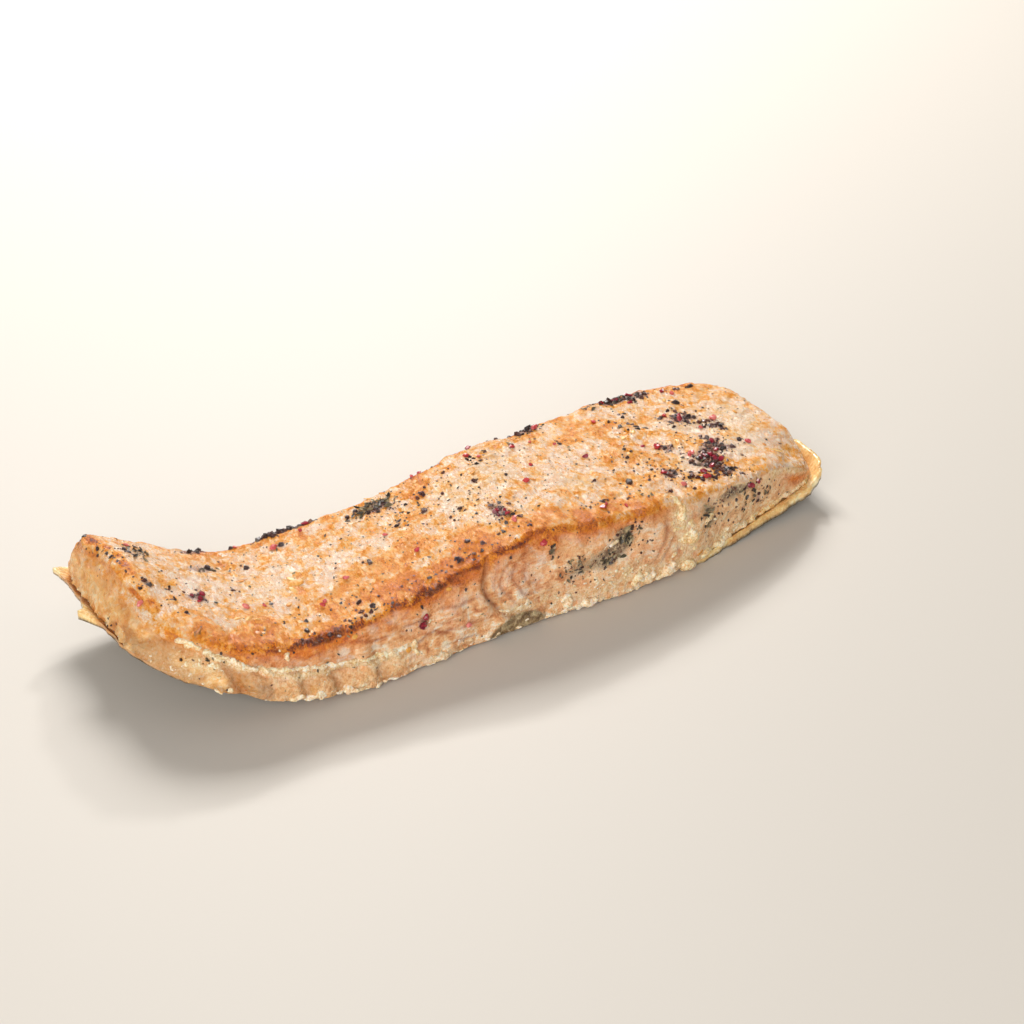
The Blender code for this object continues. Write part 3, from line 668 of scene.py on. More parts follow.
def fleshFinish():
    f = Finish("searedSalmon")
    onTop, sear, gold, milk, stain, herb, curd = f.attributes("onTop sear gold milk stain herb curd")
    foot, lower, pink, grey, gaps, lines, honey = f.attributes("foot lower pink grey gaps lines honey")
    broad, middling = f.noise(7, 3, 0.55), f.noise(2.4, 3, 0.6, 0.6)
    fine, dust = f.noise(0.75, 4, 0.7, 0.8), f.noise(0.33, 2)
    streaks = f.noise(0.9, 4, 0.62, 1.2, stretch=(1, 0.42, 1))   # run across the fish
    fibres = f.noise(1.0, 4, 0.62, 0.5, stretch=(0.4, 1, 1.4))
    cloud = f.noise(3.4, 3, 0.5, 0.6)
    patchy = middling * 0.5 + fine * 0.5
    # cut faces: wet peach in soft clouds, with faint fibres and darker flake edges, that darkness being
    # painted shade in their grooves
    peach = f.ramp(cloud * 0.56 + fibres * 0.32 + fine * 0.12, [
        (0.38, 198, 122, 72), (0.45, 236, 170, 112), (0.52, 252, 204, 152), (0.585, 255, 242, 218)])
    sandy = f.ramp(fine * 0.6 + middling * 0.4, [
        (0.34, 196, 132, 82), (0.47, 240, 180, 118), (0.60, 255, 224, 176)])
    drab = f.ramp(middling * 0.6 + fine * 0.4, [
        (0.34, 192, 132, 88), (0.47, 246, 192, 138), (0.60, 255, 230, 190)])
    rosy = f.mix((240, 156, 112), (255, 212, 178), f.span(fibres, 0.4, 0.62))
    honeyed = f.ramp(cloud * 0.5 + fibres * 0.3 + fine * 0.2, [
        (0.38, 232, 154, 76), (0.48, 250, 188, 106), (0.60, 255, 218, 156)])
    orange = f.ramp(patchy, [
        (0.36, 164, 66, 2), (0.47, 208, 100, 4), (0.58, 236, 136, 26), (0.70, 249, 174, 76)])
    scorched = f.ramp(fine, [(0.36, 122, 46, 4), (0.5, 174, 80, 8), (0.64, 222, 126, 30)])
    wall = f.over(
        peach,
        ((234, 150, 102), f.span(broad, 0.5, 0.68) * 0.5),
        ((255, 230, 196), f.span(middling * 0.5 + broad * 0.5, 0.53, 0.62) * 0.5),
        (sandy, lower * 0.85),
        (drab, f.clamp(grey)),
        (rosy, f.clamp(pink) * 0.75),
        # painted shade along the grooved flake edges
        ((160, 84, 52), f.clamp(lines * 0.85)),
        (honeyed, f.clamp(honey) * 0.9),
        # painted glints: fine white streaks on the belly end face
        ((255, 238, 208), f.span(fibres * 0.5 + fine * 0.5, 0.55, 0.62) * f.clamp(honey) * 0.6),
        (orange, f.clamp(gold * 1.1) * 0.94),
        (scorched, f.span(sear + (fine - 0.5) * 0.6, 0.25, 1.05)),
        # painted shade in the cracks, and low on the belly end of the near face
        ((150, 88, 48), f.clamp(gaps) * 0.55))
    # seared top: one run of colour from scorched brown over gold to cream, in patches and streaks
    tone = (0.52 + (streaks - 0.5) * 0.7 + (middling - 0.5) * 1.0 + (broad - 0.5) * 1.1 + milk * 0.17
            - gold * 0.21)
    tone = (f.clamp(tone - 0.27) + 0.27 + (fine - 0.5) * 0.45 + (streaks - 0.5) * 0.3 - sear * 0.40
            - f.span(dust, 0.57, 0.68) * f.clamp(gold * 0.5 + sear) * 0.22)
    crust = f.ramp(tone, [
        (0.0, 84, 28, 2), (0.08, 142, 50, 2), (0.18, 200, 98, 6), (0.28, 234, 138, 12), (0.40, 244, 162, 52),
        (0.52, 248, 184, 100), (0.64, 250, 205, 148), (0.76, 251, 220, 180), (0.90, 254, 238, 214)])
    wrinkles = f.noise(1.7, 3, 0.6, 1.0, stretch=(1, 0.55, 1))
    veins = f.span(wrinkles, 0.44, 0.49) * (1 - f.span(wrinkles, 0.51, 0.56))
    # fine white flecks: cream film together with painted glints
    flecks = f.noise(0.42, 3, 0.6, 1.5, stretch=(1, 0.32, 1))
    # whitish patches: cream film and painted sheen
    creamAndSheen = f.span(middling * 0.45 + broad * 0.55 + milk * 0.04 - gold * 0.09 - sear * 0.3, 0.46, 0.56)
    top = f.over(
        crust,
        # whitish patches of cream film and painted sheen
        ((250, 212, 182), creamAndSheen * 0.35),
        ((220, 122, 34), veins * 0.32),
        # white flecks of cream film and painted glints
        ((255, 244, 234), f.span(flecks, 0.55, 0.61) * creamAndSheen * (1 - veins) * 0.9),
        ((220, 126, 50), (1 - f.span(flecks, 0.36, 0.43)) * (0.25 + creamAndSheen * 0.35)))
    # curd, herb, stain, the skin that shows, and herb dust over everything
    milky = f.ramp(fine, [(0.38, 214, 166, 106), (0.5, 240, 206, 154), (0.62, 254, 236, 204)])
    leafy = f.ramp(fine, [(0.38, 50, 44, 38), (0.5, 122, 104, 84), (0.62, 206, 180, 144)])
    plum = f.ramp(fine, [(0.38, 70, 34, 38), (0.5, 140, 84, 78), (0.62, 214, 180, 168)])
    slate = f.ramp(fine * 0.4 + middling * 0.6, [
        (0.38, 78, 58, 34), (0.5, 136, 110, 74), (0.62, 206, 184, 140)])
    specks = 1 - f.span(f.cells(3.0), 0.055, 0.10)
    colour = f.over(
        wall,
        (top, onTop),
        (milky, f.clamp(curd * f.span(middling, 0.34, 0.54)) * 0.9),
        (milky, f.clamp(milk - onTop) * 0.9),
        (leafy, f.span(herb * 0.55 + fine * 0.8, 0.58, 0.88) * 0.85),
        (plum, f.span(stain * 0.6 + fine * 0.8, 0.58, 0.90) * 0.8),
        (slate, f.span(foot + middling * 0.6, 0.6, 0.9) * 0.95),
        ((84, 52, 34), specks * f.span(broad, 0.42, 0.5) * 0.8),
        ((120, 76, 44), f.span(dust, 0.70, 0.75) * 0.6))
    height = streaks * 1.0 + fine * 0.3 + middling * 0.8 - veins * 0.28 * onTop
    wet = f.span(middling, 0.36, 0.62, 0.08, 0.20)
    return f.finish(Base_Color=colour, Roughness=wet + (1 - onTop) * 0.10 + f.clamp(sear) * 0.04,
                    Normal=f.bump(height, 0.6, 0.8),
                    Subsurface_Weight=0.12, Subsurface_Radius=(1.0, 0.45, 0.22), Subsurface_Scale=0.0018,
                    Specular_IOR_Level=0.5)


def makeFlesh():
    flesh, points, s, v, w = shapeFlesh()
    setPlaces(flesh, points)
    normals = getNormals(flesh)
    points = points + normals * fineRelief(points, normals, w)[:, None]
    setPlaces(flesh, (points - middle) * mm)
    paintFlesh(flesh, points, normals, s, v, w)
    under = flesh.vertex_groups.new(name="under")
    under.add(np.flatnonzero(w < 0.001).tolist(), 1.0, "REPLACE")
    thin = flesh.modifiers.new("thinUnderside", "DECIMATE")
    thin.ratio = fleshTune["keep"]
    thin.vertex_group = "under"
    applyModifier(flesh, thin)
    flesh.data.shade_smooth()
    flesh.data.materials.append(fleshFinish())
    report(flesh)
    return flesh


flesh = makeFlesh()
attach(flesh, "root")
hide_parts("salmon_flesh")


# The skin

skinTune = {
    "cells": (300, 84, 2), "size": (212.0, 54.0), "rimCells": 5, "ragged": 0.5, "crumple": 0.25,
    "wrinkle": 0.07, "bareFrom": -60, "bareTo": 30, "tanTo": 46,   # x, where grey skin and tan fat show
}


def atFlaps(y, key):
    return sum(flap[key] * np.exp(-np.abs((y - flap["y"]) / flap["spread"]) ** 1.2) for flap in form["flaps"])


def makeSkin():
    tune = skinTune
    skin = griddedBox("skin", tune["cells"])
    box = getPlaces(skin)
    halfX, halfY = tune["size"][0] / 2, tune["size"][1] / 2
    px, py, w = box[:, 0] * tune["size"][0], box[:, 1] * tune["size"][1], box[:, 2] + 0.5
    innerX = halfX - tune["rimCells"] * tune["size"][0] / tune["cells"][0]
    innerY = halfY - tune["rimCells"] * tune["size"][1] / tune["cells"][1]
    rim = np.maximum((np.abs(px) - innerX) / (halfX - innerX), (np.abs(py) - innerY) / (halfY - innerY))
    rim = np.clip(rim, 0, 1)   # 0 under the flesh, 1 on the skin's own edge
    ux = np.clip(px, -innerX, innerX) * halfX / innerX
    uy = np.clip(py, -innerY, innerY) * halfY / innerY
    x, y = roundPlan(ux, uy, halfX, halfY)
    s, v = x / tune["size"][0] + 0.5, y / halfY
    alongX = placeInOutline(s, v, 0 * s, noGrowth)[0]
    flat = np.stack([alongX, 0 * alongX, 0 * alongX], axis=1)
    pastNear = along(form["skinPastNear"], alongX) * (1 + 0.15 * mottle(flat, 6))
    underX, underY = placeInOutline(s, v, 0 * s, {**noGrowth, "near": np.minimum(0, pastNear - 1)})
    edge = np.stack([underX, underY, 0 * underX], axis=1)
    torn = tune["ragged"] * (mottle(edge, 4.5, 3.0) + 0.6 * mottle(edge, 1.6, 4.0))
    outX, outY = placeInOutline(s, v, 0 * s, {
        "belly": atFlaps(underY, "reach") + torn, "back": form["skinPastBack"] + 0.6 * torn,
        "near": pastNear + torn * ease((alongX - 46) / 10),
        "far": along(form["skinPastFar"], underX) + 0.5 * torn})
    x, y = underX + (outX - underX) * rim, underY + (outY - underY) * rim
    bellyEnd = ease((-100 - x) / 4)
    lip = form["skinLip"] * ease((x - 50) / 20) + atFlaps(underY, "lip") * bellyEnd
    rise = (form["skinTipRise"] * ease((x - 103) / 8) * ease((4 - y) / 14)
            - atFlaps(underY, "droop") * bellyEnd)
    crumple = tune["crumple"] * mottle(np.stack([x, y, 0 * x], axis=1), (5, 4, 1), 8.0, 2)
    thick = form["skinThick"] + lip * np.sin(np.pi * rim * 0.62)
    z = underside(x) + (rise + crumple * ease((underside(x) - 0.3) / 1.5)) * rim + thick * w
    points = np.stack([x, y, z], axis=1)
    setPlaces(skin, points)
    normals = getNormals(skin)
    points = points + normals * (tune["wrinkle"] * mottle(points, 1.6, 6.0) * rim)[:, None]
    setPlaces(skin, (points - middle) * mm)
    paint(skin, "outer", (w < 0.4).astype(float))
    paint(skin, "dark", ease((tune["bareTo"] - x) / 10) * ease((x - tune["bareFrom"]) / 10))
    paint(skin, "tan", ease((tune["tanTo"] - x) / 16) * (1 - ease(atFlaps(underY, "reach") - 0.6) * bellyEnd))
    skin.data.shade_smooth()
    skin.data.materials.append(skinFinish())
    report(skin)
    return skin


def skinFinish():
    f = Finish("cookedSkin")
    outer, dark, tan = f.attributes("outer dark tan")
    broad, fine = f.noise(6, 3), f.noise(0.9, 3)
    scales = f.cells(2.2, stretch=(1, 0.7, 1))
    fat = f.ramp(broad * 0.6 + fine * 0.4, [
        (0.36, 222, 166, 98), (0.5, 246, 206, 138), (0.62, 255, 236, 190)])
    silver = f.ramp(scales, [(0.1, 150, 138, 116), (0.5, 112, 96, 74), (0.8, 74, 62, 46)])
    fat = f.mix(fat, (196, 136, 86), tan * 0.8)
    colour = f.mix(fat, silver, f.clamp(outer + dark))
    height = fine * 0.5 + broad * 0.4 + scales * outer * 0.6
    return f.finish(Base_Color=colour, Roughness=f.span(fine, 0.3, 0.7, 0.16, 0.34),
                    Normal=f.bump(height, 0.4, 0.7), Specular_IOR_Level=0.6,
                    Subsurface_Weight=0.2, Subsurface_Radius=(1.0, 0.6, 0.3), Subsurface_Scale=0.002)


skin = makeSkin()
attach(skin, "root")
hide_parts("salmon_skin")


# Where the small pieces lie: points of the flesh's surface, in mm of the plan

fleshTree = BVHTree.FromPolygons(((getPlaces(flesh) / mm) + middle).tolist(),
                                 [tuple(face.vertices) for face in flesh.data.polygons])


def castOnto(start, direction):
    place, normal, _, _ = fleshTree.ray_cast(Vector(start), Vector(direction))
    return None if place is None else (place, normal)


def onTopAt(x, y):
    return castOnto((x, keptOnTop(x, y), 100), (0, 0, -1))


def onNearAt(x, z):
    return castOnto((x, -80, z), (0, 1, 0))


def onFarAt(x, z):
    return castOnto((x, 80, z), (0, -1, 0))


def onBellyAt(y, z):
    return castOnto((-150, y, z), (1, 0, 0))


def onBackAt(y, z):
    return castOnto((150, y, z), (-1, 0, 0))


def shakenBall(name, levels, offset, seed):
    # an icosphere one unit across with its corners shaken
    startFresh()
    bpy.ops.mesh.primitive_ico_sphere_add(subdivisions=levels, radius=0.5, location=(0, 0, 0))
    ball = bpy.context.object
    ball.name = ball.data.name = name
    bpy.ops.object.mode_set(mode="EDIT")
    bpy.ops.mesh.select_all(action="SELECT")
    bpy.ops.transform.vertex_random(offset=offset, seed=seed)
    bpy.ops.object.mode_set(mode="OBJECT")
    return ball


def crackedGrain(name, seed, offset=0.13, breaks=3):
    # a shaken icosahedron with flat faces broken off
    grain = shakenBall(name, 1, offset, seed)
    rng = random.Random(seed)
    bpy.ops.object.mode_set(mode="EDIT")
    for _ in range(breaks):
        facing = Vector([rng.gauss(0, 1) for _ in range(3)]).normalized()
        bpy.ops.mesh.select_all(action="SELECT")
        bpy.ops.mesh.bisect(plane_co=facing * rng.uniform(0.22, 0.36), plane_no=facing, use_fill=True,
                            clear_outer=True)
    bpy.ops.mesh.select_all(action="SELECT")
    bpy.ops.mesh.normals_make_consistent(inside=False)
    bpy.ops.object.mode_set(mode="OBJECT")
    return grain


def driedLeaf(name, seed):
    # a thin strip, pointed at both ends, curled and twisted, one unit long
    rng = random.Random(seed)
    leaf = griddedBox(name, (5, 2, 1))
    x, y, z = getPlaces(leaf).T
    half = 0.5 * (1 - (2 * np.abs(x)) ** rng.uniform(1.6, 3)) + 0.06
    y = y * half * 2 * rng.uniform(0.28, 0.5) + 0.25 * rng.uniform(-1, 1) * x * x
    curl = rng.uniform(-0.7, 0.7)
    z = z * 0.1 + curl * x * x + rng.uniform(-0.8, 0.8) * x * y + 0.6 * np.abs(y)
    setPlaces(leaf, np.stack([x, y, z], axis=1))
    return leaf


def roundLump(name, seed):
    return shakenBall(name, 2, 0.07, seed)


def variants(name, tune, make, *options):
    # the shapes that one piece is scattered from; shapes holds their count and the first seed
    count, seed = tune["shapes"]
    return [make(f"{name}{i}", seed + i, *options) for i in range(count)]


def strewn(rng, finder, a, b, spreadA, spreadB):
    # the surface at a place drawn round a and b
    return finder(a + rng.gauss(0, spreadA), b + rng.gauss(0, spreadB))


def eachPlace(tune):
    # every row of the places on the top and on the near face, with what finds the surface there
    for finder, key in ((onTopAt, "top"), (onNearAt, "near")):
        for row in tune[key]:
            yield finder, row


def scatter(name, shapes, spots, tune):
    # a turned copy of one of the shapes at each spot (place, normal, size, sink, tone), all joined
    rng = random.Random(tune["turnSeed"])
    lean, spin = tune["lean"], tune["spin"]
    copies = []
    for i, (place, normal, size, sink, tone) in enumerate(spots):
        shape = shapes[i % len(shapes)]
        copy = shape.copy()
        copy.data = shape.data.copy()
        bpy.context.scene.collection.objects.link(copy)
        facing = normal.to_track_quat("Z", "Y").to_matrix().to_4x4()
        turn = (Matrix.Rotation(rng.gauss(0, lean), 4, "X") @ Matrix.Rotation(rng.gauss(0, lean), 4, "Y")
                @ Matrix.Rotation(rng.uniform(-spin, spin), 4, "Z"))
        at = Matrix.Translation((Vector(place) - normal * sink - Vector(middle)) * mm)
        copy.matrix_world = at @ facing @ turn @ Matrix.Diagonal((*[c * mm for c in size], 1))
        paint(copy, "tone", [tone] * len(copy.data.vertices))
        copies.append(copy)
    for shape in shapes:
        bpy.data.objects.remove(shape)
    bpy.context.view_layer.update()
    startFresh()
    for copy in copies:
        copy.select_set(True)
    piece = copies[0]
    bpy.context.view_layer.objects.active = piece
    bpy.ops.object.join()
    bpy.ops.object.transform_apply(location=True, rotation=True, scale=True)
    piece.name = piece.data.name = name
    return piece


def grainFinish(name, grain, run, stops, roughness, dents, **sockets):
    # colour by each grain's own tone and a fine noise; run holds the share of each and a start
    f = Finish(name)
    fine = f.noise(*grain)
    tone, = f.attributes("tone")
    colour = f.ramp(tone * run[0] + (fine - 0.5) * run[1] + run[2], stops)
    if isinstance(roughness, tuple):
        roughness = f.span(fine, *roughness)
    return f.finish(Base_Color=colour, Roughness=roughness, Normal=f.bump(fine, *dents), **sockets)


# Cracked pepper

pepperTune = {
    "shapes": (9, 60), "placeSeed": 5, "turnSeed": 3, "lean": 0.35, "spin": math.pi,
    "finerPerCrumb": 5, "overTop": 620, "overWalls": 150, "onBellyEdge": 46,
    # more grains where they lie thick: x, y, spread in x and y, count, least and largest size
    "thick": [(72, -15, 4.5, 5, 46, 0.9, 2.6), (78, -8, 4, 3.4, 26, 0.9, 2.3),
        (67, -21.5, 6, 2.4, 30, 0.9, 2.2), (80, 9, 5, 5, 34, 0.8, 2.2), (71, 28.5, 9, 1.8, 34, 0.9, 2.4),
        (86, 2, 3, 3.4, 16, 0.9, 2.2), (58, -17, 4.5, 6, 24, 0.8, 1.9), (0.5, -14, 3, 4.5, 18, 0.7, 1.8),
        (-49, 24, 7, 0.8, 58, 1.3, 3), (96, 27, 0.6, 0.4, 4, 1.4, 2.2), (92, 27.5, 0.8, 0.4, 4, 1.2, 2),
        (-16, 4, 9, 6, 22, 0.7, 1.8), (-6, -6, 5, 5, 14, 0.6, 1.6), (30, -21, 9, 3, 16, 0.6, 1.7),
        (36, 24, 4, 3, 12, 0.8, 2), (10, 14, 12, 7, 18, 0.6, 1.7), (60, 13, 6, 5, 16, 0.7, 2),
        (-50, -19, 14, 4, 14, 0.6, 1.8), (-48, -25, 16, 1.6, 30, 0.6, 1.8),
        (-14, -22, 14, 2, 34, 0.6, 1.9), (-90, 2, 5, 4, 10, 0.6, 1.5), (50, -6, 8, 8, 16, 0.6, 1.5)],
    # grains on the near face: x, z, size
    "near": [(-99, 19.3, 1.2), (-91, 12, 1.4), (-83, 20.3, 1), (-90, 21, 1.3), (-72.5, 18, 0.9),
        (-20.5, 19, 1.5), (-23, 18.3, 0.8), (-5.5, 23.6, 1.4), (7, 23, 1.2), (12, 16.8, 1),
        (15.3, 17.2, 1.4), (15.7, 13.5, 1.3), (9.5, 13, 0.8), (35, 12.8, 1.2), (40, 17, 0.7),
        (61, 19, 1.2), (75.5, 17.5, 1.5), (77.5, 18, 1.8), (82, 12.8, 1.7), (81.5, 10.5, 2),
        (75, 10.5, 1.2), (85.5, 13.5, 1.4), (95, 6.8, 1.5), (91, 8.5, 0.9), (76, 12.5, 1.1), (66, 13, 1),
        (72, 15, 1.6), (79, 15.5, 1.9), (69, 9.5, 1), (86, 9.5, 0.9), (-34.5, 18.7, 1.4), (28, 20, 1.6),
        (33, 21.5, 1.8), (31, 17, 2.2), (25, 14, 2.2), (23, 12, 1.2)],
    # dark green-grey crumbs on the near face: x, z, spread in x and z, count
    "nearClusters": [(70, 18, 5, 1.3, 30), (36, 17, 3, 3, 12), (31, 19, 2.4, 2.4, 26),
        (25, 14, 2.6, 1.6, 18), (14, 14, 5, 3.5, 34), (60, 14, 2.2, 2.6, 14), (78, 15, 5, 3, 22),
        (7, 22, 0.6, 1.8, 7), (85, 12, 6, 4, 14), (68, 12, 5, 3, 10)],
    "bellyEdge": [(0, -99.6), (20, -100.4), (42, -102)],   # y, x
    "bellySpecks": [(8, 20), (9.5, 19), (7, 18.5), (10.5, 20.5), (8.5, 17.6), (11.5, 18.2), (6.5, 21)],
}


def pepperSpots():
    tune = pepperTune
    rng = random.Random(tune["placeSeed"])
    spots = []

    def lay(found, size, tone, tall=0.8, sink=0.12):
        if found:
            shape = (size * rng.uniform(0.9, 1.3), size * rng.uniform(0.8, 1.0),
                     size * tall * rng.uniform(0.8, 1.1))
            spots.append((*found, shape, size * sink, tone))

    for x, y, size in crumbPlaces():
        tall = rng.choice((0.8, 0.9, 1.6)) if y > 22 else 0.8
        lay(onTopAt(x, y), size * 0.92, rng.uniform(0.0, 0.6), tall, 0.1)
        for _ in range(2):
            lay(strewn(rng, onTopAt, x, y, 0.5 * size, 0.5 * size), size * rng.uniform(0.25, 0.5),
                rng.uniform(0.0, 0.9), tall)
    for x, y, spreadX, spreadY, count, least, most in topCrumbs:
        for _ in range(count * tune["finerPerCrumb"]):
            lay(strewn(rng, onTopAt, x, y, spreadX * 0.75, spreadY * 0.8),
                rng.uniform(0.35, 0.55 * least + 0.2), rng.uniform(0, 1))
    for x, y, spreadX, spreadY, count, least, most in tune["thick"]:
        for _ in range(count):
            size = least + (most - least) * rng.random() ** 2
            lay(strewn(rng, onTopAt, x, y, spreadX * 0.6, spreadY * 0.6), size,
                rng.uniform(0.0, 0.9), rng.choice((0.7, 0.9, 1.2)))
    for _ in range(tune["overTop"]):
        x, share = rng.uniform(-100, 106), rng.uniform(0.02, 0.98)
        near, far = float(along(form["nearFace"], x)) + 1.5, float(along(form["farFace"], x)) - 3.0
        lay(onTopAt(x, near + (far - near) * share), 0.35 + 0.8 * rng.random() ** 3, rng.uniform(0, 1))
    for x, z, size in tune["near"]:
        lay(onNearAt(x, z), size, rng.uniform(0, 0.5))
    for x, z, spreadX, spreadZ, count in tune["nearClusters"]:
        for _ in range(count):
            lay(strewn(rng, onNearAt, x, z, spreadX, spreadZ), rng.uniform(0.4, 1.3),
                rng.uniform(0.2, 1), 0.6)
    for _ in range(tune["onBellyEdge"]):
        y = rng.uniform(2, 42)
        lay(onTopAt(float(along(tune["bellyEdge"], y)) + rng.gauss(0, 0.8), y),
            0.4 + 1.4 * rng.random() ** 2, rng.uniform(0, 0.8))
    for y, z in tune["bellySpecks"]:
        lay(onBellyAt(y, z), rng.uniform(0.6, 1.2), rng.uniform(0.1, 1))
    for i in range(tune["overWalls"]):
        x, rise = rng.uniform(-98, 104), rng.uniform(2, 18)
        if i % 5:
            found = (onNearAt, onFarAt)[i % 2](x, float(underside(x)) + rise)
        else:
            found = onBackAt(rng.uniform(-16, 30), rng.uniform(7, 15))
        lay(found, 0.3 + 0.6 * rng.random() ** 2, rng.uniform(0, 1))
    return spots


pepper = scatter("crackedPepper", variants("grain", pepperTune, crackedGrain), pepperSpots(), pepperTune)
pepper.data.materials.append(grainFinish(
    "crackedPepper", (0.4, 2), (0.8, 0.5, 0.08),
    [(0.0, 34, 20, 15), (0.35, 58, 30, 22), (0.55, 88, 42, 30), (0.75, 112, 66, 44), (0.95, 150, 124, 104)],
    (0.35, 0.65, 0.18, 0.42), (0.25, 0.6), Specular_IOR_Level=0.6))
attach(pepper, "root")
report(pepper)


# Red pepper shells

redTune = {
    "shapes": (5, 90), "placeSeed": 11, "turnSeed": 4, "lean": 0.35, "spin": math.pi,
    # x, y, share of crimson, number of flakes
    "top": [(-102, 1, 0.3, 1), (-93.5, 27, 0.3, 1), (-86.2, -1.2, 0.9, 3), (-87.5, 0.8, 1, 2),
        (-75.5, -6.8, 0.3, 1), (-70.5, -7.5, 0.5, 1), (-63, 23.5, 0.3, 1), (-55, 16, 0.5, 2),
        (-45.5, 18, 0.6, 1), (-42, 25, 0.8, 2), (-57.2, -15, 0.6, 2), (-46.8, -9.5, 0.6, 1),
        (-28.5, 0.5, 0.4, 1), (-25.5, -11.7, 0.7, 1), (-6, 24.2, 0.7, 1), (-8.5, 19, 0.6, 1),
        (-0.4, -12.3, 1, 5), (1.5, -13.5, 0.8, 2), (2, -18, 0.3, 2), (8.5, 17, 0.6, 1), (13, 24.5, 0.8, 2),
        (11.5, 14.8, 0.5, 1), (23.5, 16, 0.6, 1), (15.7, -3, 0.6, 1), (21.8, 3.8, 0.6, 1),
        (30, 16.5, 0.3, 1), (40, 2.3, 0.9, 1), (36, 12.5, 0.6, 1), (36.5, 23.5, 0.7, 2),
        (27.5, -23.8, 0.7, 1), (29.5, -22.5, 0.7, 1), (34.5, -25, 0.5, 1), (54.5, 19, 0.6, 1),
        (58.7, 0.3, 0.7, 1), (62.5, -2, 0.7, 2), (54.5, -15.5, 0.7, 1), (56.5, -22.8, 0.3, 1),
        (76, 13, 0.6, 2), (79.3, 9.8, 0.8, 3), (86.5, 27.5, 1, 2), (88, 25, 0.3, 2), (72.5, 24.5, 0.9, 2),
        (76, 30, 0.9, 2), (68, 29, 1, 3), (64, 29, 0.9, 2), (88.5, 5.5, 0.3, 2), (82, 2.5, 0.5, 1),
        (79, -6.5, 1, 2), (69, -10, 0.4, 3), (74, -14.5, 0.9, 4), (71, -17, 0.8, 3), (66, -19.5, 0.9, 2),
        (65, -22, 0.7, 2), (90, -10, 0.6, 2), (77, -11, 0.8, 2), (70, -13, 1, 2)],
    "near": [(-34.5, 14, 1, 4), (-33.3, 15, 0.9, 2), (-21, 8.5, 0.2, 2), (81.5, 17, 0.9, 2),
        (78, 17.5, 0.9, 2), (5, 24.5, 0.7, 1)],
}


def redSpots():
    rng = random.Random(redTune["placeSeed"])
    spots = []
    for finder, (a, b, share, count) in eachPlace(redTune):
        for i in range(count):
            spread = 0.9 if i else 0.0
            found = strewn(rng, finder, a, b, spread, spread)
            size = rng.uniform(1.5, 2.8)
            shape = (size, size * rng.uniform(0.5, 0.9), size * rng.uniform(0.35, 0.6))
            tone = 1 - share * rng.uniform(0.75, 1.0)
            if found:
                spots.append((*found, shape, -0.14 * size, tone))
    return spots


redPepper = scatter("redPepper", variants("shell", redTune, crackedGrain, 0.16, 2), redSpots(), redTune)
redPepper.data.materials.append(grainFinish(
    "redPepperShell", (0.5, 2), (0.85, 0.45, 0.06),
    [(0.0, 84, 10, 28), (0.25, 156, 24, 48), (0.5, 206, 66, 64), (0.8, 232, 140, 128), (1.0, 246, 196, 180)],
    0.2, (0.2, 0.5), Specular_IOR_Level=0.6))
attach(redPepper, "root")
report(redPepper)


# Dried herbs

herbTune = {
    "shapes": (6, 30), "placeSeed": 13, "turnSeed": 6, "lean": 0.25, "spin": math.pi,
    # clusters on the top and on the near face: place, spreads, count, least and largest length
    "top": [(-24, 14, 5, 2.2, 46, 0.9, 2.8), (-92, 22, 2.4, 3.4, 22, 0.8, 2),
        (-77, 14, 3, 1.2, 10, 0.8, 1.6), (70, 29, 8, 2, 24, 0.8, 2.2), (44, -22, 4, 1.6, 8, 0.8, 1.6),
        (71, -14, 5, 4, 14, 0.7, 1.6), (0, 5, 50, 12, 60, 0.5, 1.2), (0, 0, 60, 14, 50, 0.5, 1.2)],
    "near": [(31, 19, 2.2, 2.2, 26, 0.9, 2.6), (25, 14, 2.4, 1.6, 16, 0.8, 2),
        (14, 14, 4, 3, 22, 0.6, 1.6), (60, 14, 1.8, 2.6, 16, 0.8, 2.4), (7, 22.5, 0.5, 1.6, 6, 0.8, 1.8),
        (80, 13, 5, 3, 14, 0.8, 2.2), (-20, 14, 40, 5, 26, 0.5, 1.1), (-91, 20, 3, 2, 6, 0.6, 1.4)],
}


def herbSpots():
    rng = random.Random(herbTune["placeSeed"])
    spots = []
    for finder, (a, b, spreadA, spreadB, count, least, most) in eachPlace(herbTune):
        for _ in range(count):
            found = strewn(rng, finder, a, b, spreadA * 0.8, spreadB * 0.8)
            length = rng.uniform(least, most)
            if found:
                spots.append((*found, (length, length, length), -0.04 * length, rng.uniform(0, 1)))
    return spots


herbs = scatter("driedHerbs", variants("leaf", herbTune, driedLeaf), herbSpots(), herbTune)
herbs.data.materials.append(grainFinish(
    "driedHerb", (0.5, 2), (0.8, 0.5, 0.1),
    [(0.0, 40, 36, 30), (0.4, 76, 68, 54), (0.7, 122, 108, 80), (1.0, 186, 164, 122)], 0.35, (0.2, 0.5)))
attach(herbs, "root")
report(herbs)


# Golden flakes of crust

